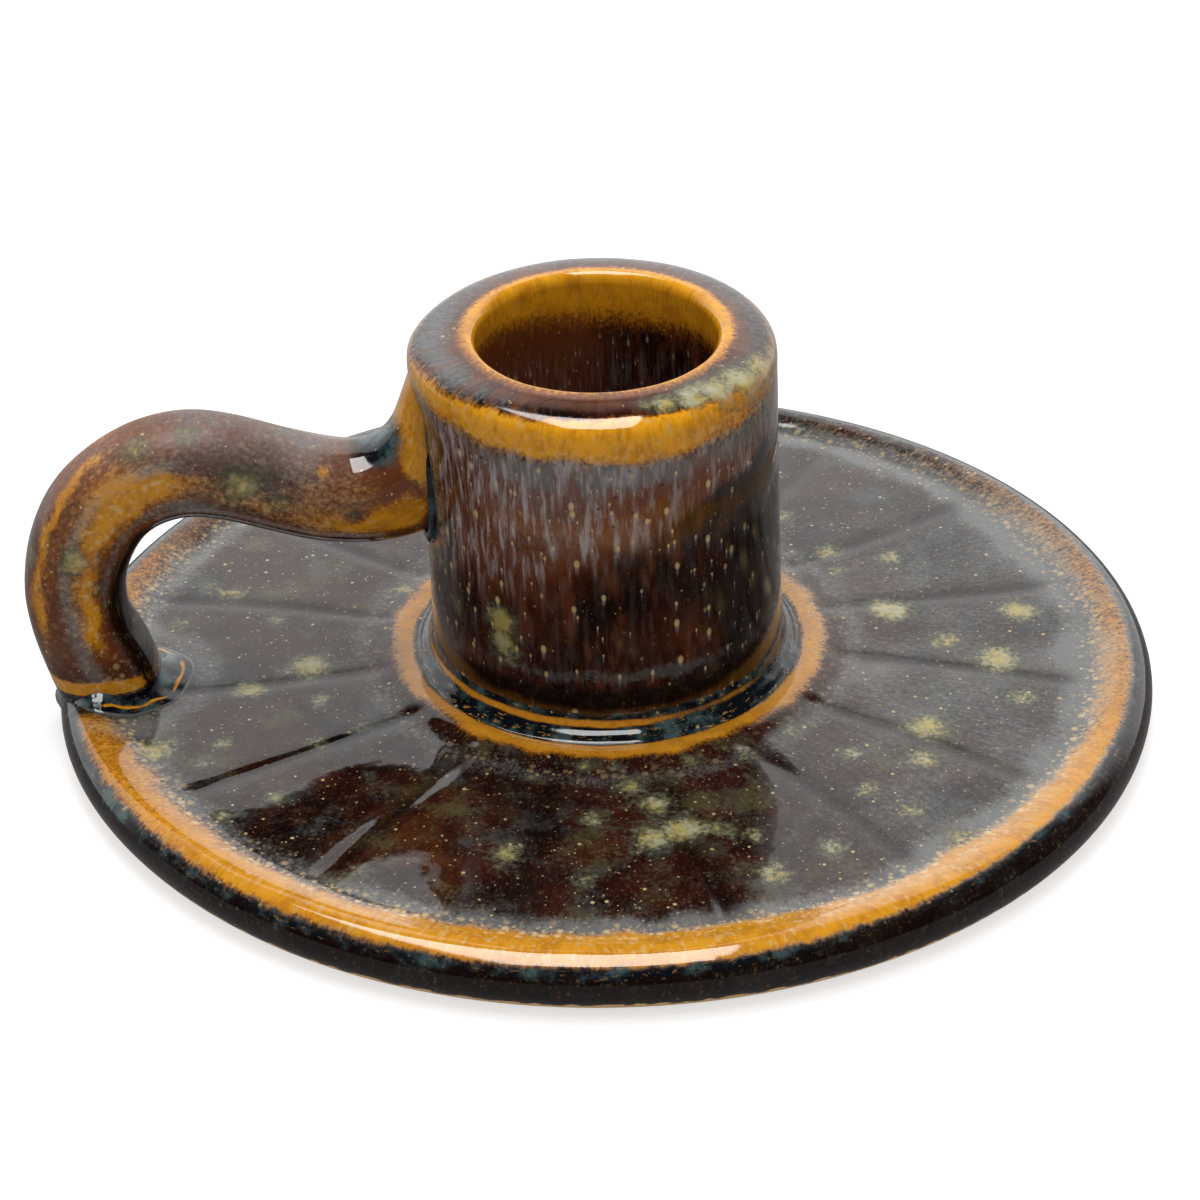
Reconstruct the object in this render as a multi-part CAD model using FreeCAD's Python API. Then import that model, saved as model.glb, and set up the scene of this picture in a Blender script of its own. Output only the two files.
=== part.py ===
"""Chamberstick with finger loop: a hand-built stoneware candle holder.

A round dish carries an upright candle socket in its middle. A thick
finger loop leaves the socket below the lip, runs out level, turns down
and stands on the dish's rim. The three clay pieces are made apart and
luted together with slip while they are leather hard, so each joint has
its own small body of slip.

Units are millimetres. The origin is the centre of the flat underside,
on the candle's axis. +Z is up and the loop points along -X.
"""

import FreeCAD, Part
import math
import os

# Dish
dish_radius = 54.0
dish_foot_inset = 2.7
dish_floor_height = 4.4
rim_bead_rise = 1.1
rim_bead_width = 6.6
rim_round = 2.7

# Raised ring round the socket's seat
ring_gap = 1.4
ring_inner_slope = 2.1
ring_outer_slope = 2.0
ring_rise = 0.55

# Radial grooves drawn in the dish's floor
groove_count = 16
groove_width = 1.2
groove_depth = 0.3
first_groove_angle = -18.0

# Candle socket
candle_diameter = 22.0
candle_clearance = 0.5
socket_height = 39.2
socket_top_radius = 16.9
socket_foot_radius = 17.5
lip_outer_round = 2.4
lip_inner_round = 1.6

# Finger loop
arm_thickness = 9.5
leg_thickness = 10.3
loop_corner_share = 0.75
arm_below_lip = 15.4
crown_rise = 4.3
foot_inset = 4.4
leg_bow_share = 0.084
sweep_radius = 4.6
fin_depth = 2.8
foot_edge_round = 0.9

# Slip in the joints
socket_slip_width = 1.2
socket_slip_height = 1.3
wall_slip_thickness = 0.5
foot_slip_rise = 0.3
foot_slip_spread = 2.0
foot_slip_overhang = 1.2

# One overrun serves every cut
overrun = 1.0

# Directions
UP = FreeCAD.Vector(0, 0, 1)
INWARD = FreeCAD.Vector(-1, 0, 0)

# Sizes that follow from the ones above
half_arm = arm_thickness / 2
half_leg = leg_thickness / 2
bore_radius = candle_diameter / 2 + candle_clearance
rim_top = dish_floor_height + rim_bead_rise
rim_crest_radius = dish_radius - rim_round
rim_equator_height = rim_top - rim_round
bead_inner_radius = dish_radius - rim_bead_width
ring_start_radius = socket_foot_radius + ring_gap
ring_crest_radius = ring_start_radius + ring_inner_slope
ring_end_radius = ring_crest_radius + ring_outer_slope
arm_height = socket_height - arm_below_lip
crown_height = arm_height + crown_rise
leg_height = crown_height - rim_top
leg_bow = leg_bow_share * leg_height
foot_radius = dish_radius - foot_inset
foot_slip_top = rim_top + foot_slip_rise
pivot_radius = socket_top_radius + fin_depth + sweep_radius
pivot_height = arm_height + half_arm + sweep_radius

# The loop is drawn a third of the way into the socket's wall, then trimmed to it
loop_root_radius = bore_radius + (socket_top_radius - bore_radius) / 3


def at(radius, height, angle=0.0):
    """Point at a radius from the candle's axis, a height and an angle in degrees."""
    turn = math.radians(angle)
    return FreeCAD.Vector(radius * math.cos(turn), radius * math.sin(turn), height)


def line(start, end):
    return Part.LineSegment(start, end).toShape()


def arc(start, middle, end):
    return Part.Arc(start, middle, end).toShape()


def bend(start, leaving, end):
    """Arc from start to end that leaves start along a given direction."""
    chord = end - start
    half_turn = leaving.getAngle(chord)
    sideways = leaving - chord * (leaving.dot(chord) / chord.dot(chord))
    swell = chord.Length / 2 * math.tan(half_turn / 2)
    middle = (start + end) / 2 + sideways.normalize() * swell
    return arc(start, middle, end)


def ease(start, end):
    """S-shaped slope of two equal arcs that is level at both its ends."""
    middle = (start + end) / 2
    level = FreeCAD.Vector(end.x - start.x, 0, 0)
    return [bend(start, level, middle), bend(end, -level, middle)]


def revolve(edges):
    """Closed profile in the XZ plane, turned a full circle about the candle's axis."""
    face = Part.Face(Part.Wire(edges))
    return face.revolve(FreeCAD.Vector(0, 0, 0), UP, 360)


def groove_cutter(angle):
    """Rod that leaves a shallow groove of the stated width and depth in the floor."""
    rod_radius = (groove_width ** 2 / 4 + groove_depth ** 2) / (2 * groove_depth)
    axis_height = dish_floor_height + rod_radius - groove_depth
    start = at(ring_crest_radius, axis_height, angle)
    end = at(bead_inner_radius, axis_height, angle)
    run = end - start
    return Part.makeCylinder(rod_radius, run.Length, start, run)


def make_dish():
    """Thick disc with a flat underside, a beaded rim and a raised ring round the seat."""
    centre_base = at(0, 0)
    centre_floor = at(0, dish_floor_height)
    foot = at(dish_radius - dish_foot_inset, 0)
    equator = at(dish_radius, rim_equator_height)
    crest = at(rim_crest_radius, rim_top)
    bead_foot = at(bead_inner_radius, dish_floor_height)
    ring_end = at(ring_end_radius, dish_floor_height)
    ring_crest = at(ring_crest_radius, dish_floor_height + ring_rise)
    ring_start = at(ring_start_radius, dish_floor_height)
    outline = [
        line(centre_base, foot),
        bend(equator, -UP, foot),
        bend(equator, UP, crest),
        *ease(crest, bead_foot),
        line(bead_foot, ring_end),
        *ease(ring_end, ring_crest),
        *ease(ring_crest, ring_start),
        line(ring_start, centre_floor),
        line(centre_floor, centre_base),
    ]
    dish = revolve(outline)
    pitch = 360 / groove_count
    angles = [first_groove_angle - number * pitch for number in range(groove_count)]
    return dish.cut([groove_cutter(angle) for angle in angles])


def socket_outside(growth):
    """Profile edges of the socket's outer wall and lip, from the seat to the lip's flat."""
    foot = at(socket_foot_radius + growth, dish_floor_height)
    top = at(socket_top_radius + growth, socket_height - lip_outer_round)
    crest_radius = socket_top_radius + growth - lip_outer_round
    crest = at(crest_radius, socket_height)
    lip = bend(top, UP, crest)
    return [line(foot, top), lip], foot, crest


def socket_envelope(growth):
    """The socket with its bore filled, grown outwards by a thickness of slip."""
    edges, foot, crest = socket_outside(growth)
    centre_top = at(0, socket_height)
    centre_seat = at(0, dish_floor_height)
    edges += [
        line(crest, centre_top),
        line(centre_top, centre_seat),
        line(centre_seat, foot),
    ]
    return revolve(edges)


def make_candle_socket():
    """Thick tube with a rolled lip, open down to the dish's floor."""
    edges, foot, crest = socket_outside(0)
    inner_crest = at(bore_radius + lip_inner_round, socket_height)
    bore_top = at(bore_radius, socket_height - lip_inner_round)
    bore_foot = at(bore_radius, dish_floor_height)
    edges += [
        line(crest, inner_crest),
        bend(bore_top, UP, inner_crest),
        line(bore_top, bore_foot),
        line(bore_foot, foot),
    ]
    return revolve(edges)


def section(near, far, width):
    """Closed loop with rounded corners in the plane of the line near-far and the Y axis.

    near and far are points in the loop's middle plane, given as radius and height.
    """
    across = FreeCAD.Vector(0, width / 2, 0)
    along = far - near
    corner = loop_corner_share * min(width, along.Length) / 2
    step = along.normalize() * corner
    inset = FreeCAD.Vector(0, corner, 0)
    corners = [
        (near - across, step, inset),
        (far - across, inset, -step),
        (far + across, -step, -inset),
        (near + across, -inset, step),
    ]
    rounded = []
    for point, leaving, inward in corners:
        start = point + inward
        end = point + leaving
        middle = point + (leaving + inward) * (1 - math.sqrt(0.5))
        rounded.append((start, middle, end))
    edges = []
    for place, (start, middle, end) in enumerate(rounded):
        edges.append(arc(start, middle, end))
        following = rounded[(place + 1) % len(rounded)][0]
        edges.append(line(end, following))
    return Part.Wire(edges)


def fin_sections():
    """Level sections of the fin that climbs the socket's wall, from the lip down."""
    height_shares = (0.96, 0.87, 0.7, 0.4)
    depth_shares = (-0.4, 0.25, 0.55, 0.8)
    width_shares = (0.46, 0.48, 0.5, 0.52)
    climb = socket_height - pivot_height
    wires = []
    for rise, depth, width in zip(height_shares, depth_shares, width_shares):
        height = pivot_height + rise * climb
        near = at(socket_top_radius + depth * fin_depth, height)
        far = at(loop_root_radius, height)
        wires.append(section(near, far, width * arm_thickness))
    return wires


def fan_sections():
    """Sections that fan round the sweep's centre, from level to upright."""
    turn_shares = (0, 0.25, 0.5, 0.75)
    width_shares = (0.56, 0.66, 0.8, 0.93)
    underside = arm_height - half_arm
    wires = []
    for turn, width in zip(turn_shares, width_shares):
        angle = math.radians(180 + 90 * turn)
        direction = FreeCAD.Vector(math.cos(angle), 0, math.sin(angle))
        pivot = at(pivot_radius, pivot_height)
        reach = (loop_root_radius - pivot_radius) / direction.x
        if direction.z < 0:
            reach = min(reach, (underside - pivot_height) / direction.z)
        near = pivot + direction * sweep_radius
        far = pivot + direction * reach
        wires.append(section(near, far, width * arm_thickness))
    return wires


def loop_spine():
    """Centreline of the arm and leg, in the XZ plane, from the sweep to the foot."""
    slope_run_share = 0.34
    slope_rise_share = 0.6
    crown_run_share = 0.62
    shoulder_run_share = 0.93
    shoulder_height_share = 0.82
    bow_height_share = 0.45
    arm_run = foot_radius - pivot_radius
    slope_height = arm_height + slope_rise_share * crown_rise
    shoulder_height = rim_top + shoulder_height_share * leg_height
    bow_height = rim_top + bow_height_share * leg_height
    points = [
        at(pivot_radius, arm_height),
        at(pivot_radius + slope_run_share * arm_run, slope_height),
        at(pivot_radius + crown_run_share * arm_run, crown_height),
        at(pivot_radius + shoulder_run_share * arm_run, shoulder_height),
        at(foot_radius + leg_bow, bow_height),
        at(foot_radius, rim_top - overrun),
    ]
    spine = Part.BSplineCurve()
    level = FreeCAD.Vector(1, 0, 0)
    down = FreeCAD.Vector(-leg_bow, 0, rim_top - bow_height)
    spine.interpolate(
        Points=points,
        InitialTangent=level,
        FinalTangent=down.normalize(),
    )
    return spine


def arm_sections():
    """Square sections with soft corners, across the centreline of the arm and leg."""
    stations = 12
    spine = loop_spine()
    wires = []
    for station in range(stations + 1):
        length = spine.length() * station / stations
        place = spine.parameterAtDistance(length)
        centre = spine.value(place)
        tangent = spine.tangent(place)[0]
        thickness = arm_thickness + (leg_thickness - arm_thickness) * station / stations
        outward = FreeCAD.Vector(-tangent.z, 0, tangent.x) * thickness / 2
        wires.append(section(centre + outward, centre - outward, thickness))
    return wires


def loop_body():
    """The whole loop before it is trimmed to the socket and the foot's slip."""
    sections = fin_sections() + fan_sections() + arm_sections()
    body = Part.makeLoft(sections, True, False)
    body.rotate(FreeCAD.Vector(0, 0, 0), UP, 180)
    return body


def below(height):
    """Block that holds everything of the holder under a height."""
    side = 4 * dish_radius
    corner = FreeCAD.Vector(-side / 2, -side / 2, height - side)
    return Part.makeBox(side, side, side, corner)


def make_finger_loop(body):
    """Loop cut to the slip on the socket's wall and to the top of the foot's slip."""
    loop = body.cut(socket_envelope(wall_slip_thickness))
    loop = loop.cut(below(foot_slip_top))
    loop = max(loop.Solids, key=lambda solid: solid.Volume)
    foot_edges = []
    for edge in loop.Edges:
        box = edge.BoundBox
        if box.ZMax < foot_slip_top + overrun / 100:
            foot_edges.append(edge)
    return loop.makeFillet(foot_edge_round, foot_edges)


def make_loop_wall_slip(body):
    """Layer of slip between the loop's flared end and the socket's wall."""
    slip = body.common(socket_envelope(wall_slip_thickness))
    slip = slip.cut(socket_envelope(0))
    return max(slip.Solids, key=lambda solid: solid.Volume)


def make_loop_foot_slip(dish):
    """Cushion of slip squeezed out from under the loop's foot on to the dish's rim."""
    height_shares = (0.3, 0.55, 0.85, 1.0)
    outer_shares = (0.5, 1.0, 0.9, 0.0)
    spread_shares = (0.3, 1.0, 0.8, 0.0)
    top_reach = half_leg - foot_edge_round / 2
    full_reach = dish_radius + foot_slip_overhang - foot_radius
    sections = []
    for rise, outer, spread in zip(height_shares, outer_shares, spread_shares):
        height = rise * foot_slip_top
        outside = top_reach + outer * (full_reach - top_reach)
        inside = top_reach + spread * foot_slip_spread
        near = at(foot_radius + outside, height)
        far = at(foot_radius - inside, height)
        sections.append(section(near, far, 2 * inside))
    pad = Part.makeLoft(sections, True, False)
    pad.rotate(FreeCAD.Vector(0, 0, 0), UP, 180)
    pad = pad.cut(dish)
    return max(pad.Solids, key=lambda solid: solid.Volume)


def make_socket_slip():
    """Hollow fillet of slip in the corner between the socket's wall and the dish."""
    wall_taper = (socket_foot_radius - socket_top_radius) / (
        socket_height - lip_outer_round - dish_floor_height
    )
    corner = at(socket_foot_radius, dish_floor_height)
    toe = at(socket_foot_radius + socket_slip_width, dish_floor_height)
    top_height = dish_floor_height + socket_slip_height
    top = at(socket_foot_radius - wall_taper * socket_slip_height, top_height)
    return revolve([line(corner, toe), bend(toe, INWARD, top), line(top, corner)])


def main():
    os.makedirs("parts", exist_ok=True)
    dish = make_dish()
    body = loop_body()
    pieces = {
        "dish": dish,
        "candle_socket": make_candle_socket(),
        "finger_loop": make_finger_loop(body),
        "socket_slip": make_socket_slip(),
        "loop_wall_slip": make_loop_wall_slip(body),
        "loop_foot_slip": make_loop_foot_slip(dish),
    }
    for name, shape in pieces.items():
        box = shape.optimalBoundingBox()
        print(name, len(shape.Solids), "solid", shape.isValid(), round(shape.Volume))
        print("  x", round(box.XMin, 2), round(box.XMax, 2))
        print("  y", round(box.YMin, 2), round(box.YMax, 2))
        print("  z", round(box.ZMin, 2), round(box.ZMax, 2))
        shape.exportStep("parts/" + name + ".step")


main()
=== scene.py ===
# %% [markdown]
# # Glazed chamberstick with a finger loop
#
# The object is a small stoneware candle holder. A round dish carries a candle
# socket, and a thick loop of clay joins the socket's lip to the dish's rim.
# A glossy red-brown glaze covers all of it and breaks to amber on every edge.
#
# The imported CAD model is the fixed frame. Each clay piece and each joint of
# slip is worked out again as a numpy surface in the same place, so that it can
# carry the small unevenness of hand work and the glaze that follows from it.

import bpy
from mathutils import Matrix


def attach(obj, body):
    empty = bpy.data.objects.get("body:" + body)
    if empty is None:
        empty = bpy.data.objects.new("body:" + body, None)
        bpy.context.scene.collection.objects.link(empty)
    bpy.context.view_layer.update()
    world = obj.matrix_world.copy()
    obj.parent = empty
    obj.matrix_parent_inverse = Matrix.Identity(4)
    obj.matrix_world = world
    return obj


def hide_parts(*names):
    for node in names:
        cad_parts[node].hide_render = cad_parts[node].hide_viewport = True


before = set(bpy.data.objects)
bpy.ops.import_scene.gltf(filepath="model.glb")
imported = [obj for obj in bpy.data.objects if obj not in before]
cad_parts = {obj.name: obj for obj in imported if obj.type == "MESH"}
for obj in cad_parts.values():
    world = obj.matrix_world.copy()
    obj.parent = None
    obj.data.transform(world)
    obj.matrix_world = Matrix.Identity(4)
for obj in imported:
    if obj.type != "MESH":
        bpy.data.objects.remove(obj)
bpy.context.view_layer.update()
print("CAD nodes:", sorted(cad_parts))

# %% Tools that the lesson uses
import math
from types import SimpleNamespace

import bpy
import numpy as np
from mathutils import Matrix, Vector

MM = 0.001
scene = bpy.context.scene

# %% [markdown]
# ## Camera
#
# The photograph looks down on the holder at about thirty degrees, from the
# side, with the loop to the left. A long lens keeps the ellipses of the dish
# and the lip nearly parallel. The view's three directions are written as the
# columns of one matrix, which is more exact than turning the camera by angles.

# %% Camera
camera_place = np.array([-30.20, -245.96, 163.89]) * MM
camera_right = (0.991246, -0.130697, -0.018704)
camera_up = (0.085070, 0.523906, 0.847517)
camera_back = (-0.100969, -0.841689, 0.530438)
focal_length = 87.9
sensor_width = 36.0

camera_data = bpy.data.cameras.new("camera")
camera_data.lens = focal_length
camera_data.sensor_width = sensor_width
camera_data.clip_start = 0.01
camera = bpy.data.objects.new("camera", camera_data)
scene.collection.objects.link(camera)
turn = Matrix((camera_right, camera_up, camera_back)).transposed()
camera.matrix_world = Matrix.Translation(Vector(camera_place)) @ turn.to_4x4()
scene.camera = camera
print("camera at", np.round(camera_place, 4))

# %% [markdown]
# ## Helpers for shapes
#
# Hand-made clay is a plain shape plus small, smooth errors. A few helpers on
# whole arrays are enough for both. A smooth step blends two states, a bell
# makes a bead or a dent, and a sum of a few random sines makes soft ripples.

# %% Blends, bells and ripples
def smoothstep(low, high, value):
    """0 below low and 1 above high, with an S-shaped change between them."""
    share = np.clip((value - low) / (high - low), 0, 1)
    return share * share * (3 - 2 * share)


def fade(low, high, value):
    """1 below low and 0 above high: one minus the S-shaped rise."""
    return 1 - smoothstep(low, high, value)


def bell(centre, width, value):
    """Bell of height 1 at the centre: the exponential of minus the squared distance in widths."""
    return np.exp(-(((value - centre) / width) ** 2))


def ripples(points, length, seed, waves=14):
    """Smooth random field about 0: twice the mean of sines along random headings in space."""
    random = np.random.default_rng(seed)
    headings = random.normal(size=(waves, 3))
    headings /= np.linalg.norm(headings, axis=1)[:, None]
    stretches = random.uniform(0.6, 1.6, waves)
    phases = random.uniform(0, 2 * np.pi, waves)
    total = np.zeros(points.shape[:-1])
    for heading, stretch, phase in zip(headings, stretches, phases):
        total += np.sin(points @ heading * 2 * np.pi * stretch / length + phase)
    return total * 2 / waves


def around(turns, table, softness=9.0):
    """Value at each turn from a table of azimuths in degrees, joined by lines and then softened.

    The softening multiplies the curve's Fourier terms by a bell, so it stays periodic.
    """
    fine = np.arange(0, 360, 0.5)
    azimuths, values = zip(*sorted(table.items()))
    curve = np.interp(fine, azimuths, values, period=360)
    terms = np.fft.rfft(curve)
    order = np.arange(len(terms))
    terms *= np.exp(-((order * np.radians(softness)) ** 2) / 2)
    curve = np.fft.irfft(terms, len(fine))
    return np.interp(np.degrees(turns), fine, curve, period=360)


def azimuth_of(turns):
    """Azimuth in degrees from -180 to 180, for turns in radians from 0 to a full circle."""
    return np.degrees(turns) - 360 * (turns > np.pi)


def turned(radii, turns, heights):
    """Points turned about the axis: the radius times the turn's cosine and sine, and the height."""
    parts = np.broadcast_arrays(radii * np.cos(turns), radii * np.sin(turns), heights)
    return np.stack(parts, axis=-1)


def at(radius, azimuth, height):
    """One point at a radius, an azimuth in degrees and a height."""
    turn_angle = math.radians(azimuth)
    return np.array([radius * math.cos(turn_angle), radius * math.sin(turn_angle), height])


def distance(points, place):
    """Straight distance from each point to one place."""
    return np.linalg.norm(points - np.array(place), axis=-1)


# %% [markdown]
# ## From a grid of points to a mesh
#
# Every piece is a grid: the rows follow the profile and the columns go round.
# The columns always close on themselves. The rows either close too, as on a
# tube, or end in a pole that a fan of triangles closes. The signed volume
# says whether the faces point outwards, and if they don't, they are reversed.

# %% Mesh from a grid
def grid_faces(rows, columns, rows_close):
    """Quads between neighbouring rows and columns of a grid, as rows of four indices."""
    down = np.arange(rows if rows_close else rows - 1)[:, None]
    across = np.arange(columns)[None, :]
    beside = (across + 1) % columns
    below = (down + 1) % rows
    corners = (
        down * columns + across,
        down * columns + beside,
        below * columns + beside,
        below * columns + across,
    )
    return np.stack(corners, axis=-1).reshape(-1, 4)


def pole_faces(ring, pole):
    """Triangles from a ring of indices to one pole."""
    return np.stack((ring, np.roll(ring, -1), np.full(len(ring), pole)), axis=-1)


def make_mesh(name, grid, fields, rows_close=False):
    """Mesh object from a grid of points in millimetres and its named fields of values."""
    rows, columns, _ = grid.shape
    points = grid.reshape(-1, 3)
    quads = grid_faces(rows, columns, rows_close)
    fans = []
    if not rows_close:
        top = np.arange(columns)
        bottom = (rows - 1) * columns + top
        poles = np.stack((grid[0].mean(axis=0), grid[-1].mean(axis=0)))
        points = np.concatenate((points, poles))
        fans = [pole_faces(top[::-1], len(points) - 2), pole_faces(bottom, len(points) - 1)]
    triangles = np.concatenate([quads[:, :3], quads[:, [0, 2, 3]]] + fans)
    a, b, c = (points[triangles[:, corner]] for corner in range(3))
    if np.einsum("ij,ij->", a, np.cross(b, c)) < 0:
        quads = quads[:, ::-1]
        fans = [fan[:, ::-1] for fan in fans]
    mesh = bpy.data.meshes.new(name)
    faces = quads.tolist() + [row for fan in fans for row in fan.tolist()]
    mesh.from_pydata((points * MM).tolist(), [], faces)
    mesh.shade_smooth()
    for label, values in fields.items():
        put_field(mesh, label, values, rows_close)
    piece = bpy.data.objects.new(name, mesh)
    scene.collection.objects.link(piece)
    print(name, len(triangles), "triangles")
    return piece


def put_field(mesh, label, values, rows_close):
    """Stores one value or one vector for each point of the mesh, poles included."""
    vector = values.ndim == 3
    flat = values.reshape(-1, 3) if vector else values.reshape(-1)
    if not rows_close:
        ends = np.stack((values[0].mean(axis=0), values[-1].mean(axis=0)))
        flat = np.concatenate((flat, ends))
    kind = "FLOAT_VECTOR" if vector else "FLOAT"
    attribute = mesh.attributes.new(label, kind, "POINT")
    attribute.data.foreach_set("vector" if vector else "value", flat.astype(np.float32).ravel())


# %% [markdown]
# ## The dish
#
# The dish is a thrown disc with a beaded rim. A low ring stands round the
# socket's seat, and sixteen soft grooves run from the ring to the rim. On a
# potter's wheel it would be turned, then marked with a blunt tool.
#
# The surface is a profile that is turned about the candle's axis: from the
# middle of the floor outwards, over the ring and the bead, down the side and
# back under. Each place on the rim then gets its own small change of radius
# and height, because the fired dish is neither quite round nor quite level.

# %% Sizes of the dish, in millimetres
dish_radius = 54.0
floor_height = 4.4
rim_top = 5.5
rim_round = 2.7
crest_radius = dish_radius - rim_round
bead_start = 47.2
ring_crest = 21.0
ring_rise = 0.45
ring_width = 1.9
groove_count = 16
groove_pitch = 360 / groove_count
first_groove = -18.0
groove_depth = 0.14
groove_width = 1.1
groove_wander = 1.1
groove_end = 46.0
groove_fade = 2.5
foot_place = 49.6

# How far each part of the rim stands out and dips, in millimetres by azimuth in degrees
rim_swell_table = {
    -170: 0.7, -150: 0.0, -90: -0.05, -45: 0.3, -20: 0.2, 20: -0.3, 60: -0.6, 110: -0.6, 150: -0.6, 176: 0.7,
}
rim_drop_table = {-170: 0.0, -90: 0.0, -20: 0.0, 20: 0.5, 60: 1.0, 110: 1.0, 150: 0.9, 175: 0.2}


# %% Height of the dish's upper side
def groove_distance(x, y):
    """Distance in millimetres from the middle of the nearest groove, measured round the circle.

    The grooves are evenly spaced in azimuth, and a slow sine in degrees lets them wander.
    """
    turns = np.degrees(np.arctan2(y, x))
    radii = np.hypot(x, y)
    wander = groove_wander * np.sin(radii / 9 + turns / 23)
    steps = (first_groove + wander - turns) / groove_pitch
    return np.radians((steps - np.round(steps)) * groove_pitch) * radii


def rim_level(turns, radii):
    """Share of its full height that the dish keeps where the rim dips."""
    dip = around(turns, rim_drop_table) * smoothstep(26, 52, radii)
    return 1 - dip / rim_top


def dish_height(x, y):
    """Height of the dish's upper side: floor, ring and bead, less the grooves, plus slow ripples."""
    radii = np.hypot(x, y)
    turns = np.arctan2(y, x)
    ring = ring_rise * bell(ring_crest, ring_width, radii)
    bead = (rim_top - floor_height) * smoothstep(bead_start, crest_radius, radii)
    reach = smoothstep(ring_crest, ring_crest + groove_fade, radii)
    reach = reach * fade(groove_end, groove_end + groove_fade, radii)
    grooves = groove_depth * bell(0, groove_width, groove_distance(x, y)) * reach
    points = np.stack((x, y, 0 * x), axis=-1)
    swell = 0.05 * ripples(points, 17, 3) + 0.02 * ripples(points, 6, 4)
    swell = swell * smoothstep(ring_crest, ring_crest + 4, radii)
    height = floor_height + ring + bead - grooves + swell
    return height * rim_level(turns, radii)


# %% The dish's profile and grid
def dish_grid():
    """Points, radii, turns and run of the dish: rows follow the profile, 720 columns go round.

    The rim's side is a quarter of a circle above and a quarter of an ellipse below, which ends
    on the table. The run is the length of the profile from its first station.
    """
    turns = np.linspace(0, 2 * np.pi, 720, endpoint=False)[None, :]
    top_radii = np.concatenate((
        np.linspace(0.5, 15, 5),
        np.linspace(16, 24.5, 30),
        np.linspace(25, 46.5, 40),
        np.linspace(46.9, crest_radius, 17),
    ))[:, None]
    upper = np.radians(np.linspace(84, 0, 13))[:, None]
    lower = np.radians(np.linspace(-8, -90, 12))[:, None]
    under = np.linspace(crest_radius - 1, 1, 9)[:, None]
    equator = rim_top - rim_round
    side_radii = crest_radius + rim_round * np.cos(np.concatenate((upper, lower)))
    side_heights = np.concatenate((equator + rim_round * np.sin(upper), equator * (1 + np.sin(lower))))
    radii = np.concatenate((top_radii, side_radii, under))
    true_radii = radii + around(turns, rim_swell_table) * smoothstep(24, 54, radii)
    flat = turned(top_radii, turns, 0)
    top = dish_height(flat[..., 0], flat[..., 1])
    side = side_heights * rim_level(turns, side_radii)
    bottom = np.zeros((len(under), turns.size))
    grid = turned(true_radii, turns, np.concatenate((top, side, bottom)))
    steps = np.linalg.norm(np.diff(grid[:, 0], axis=0), axis=1)
    run = np.concatenate(([0], np.cumsum(steps)))[:, None]
    return grid, *np.broadcast_arrays(radii, turns, run)


dish_points, dish_radii, dish_turns, dish_run = dish_grid()

# %% [markdown]
# ## What the glaze does on the dish
#
# This glaze is dark where it lies thick and amber where it runs thin. So it
# turns amber on the bead and on the ring, and in between a pale blue-grey
# haze marks the change. Cream blotches grow where crystals formed in the
# cooling kiln. Each of these is one field of values from 0 to 1 on the mesh,
# and the material later breaks its edge into grains.
#
# The blotches are listed one by one, each by its radius, azimuth, size and
# strength. Those on the far side, which is out of focus, are partly guesses.

# %% Fields that a mesh stores for its glaze
# amber, haze, cream, pool and clay say where that colour lies, warm where the dark glaze
# turns red-brown, and deep where it is blackest. haze is the glaze's own haze and,
# in places, painted reflection of the white surround; deep is pooled glaze and, in places,
# painted shade. dots, tick, streak, drip and fleck strew small marks, and matt dulls the gloss. The
# vector flow is a place round and along the piece, about in millimetres, on which runs and drips are
# drawn out.
field_names = (
    "amber", "haze", "cream", "dots", "tick", "warm", "streak",
    "deep", "pool", "fleck", "clay", "matt", "drip",
)


def glaze_fields(flow, **given):
    """All fields of the glaze on a grid: the given ones within 0 to 1, and 0 for the others."""
    fields = {}
    for label in field_names:
        fields[label] = np.broadcast_to(np.clip(given.get(label, 0.0), 0, 1), flow.shape[:2])
    fields["flow"] = flow
    return fields


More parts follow.
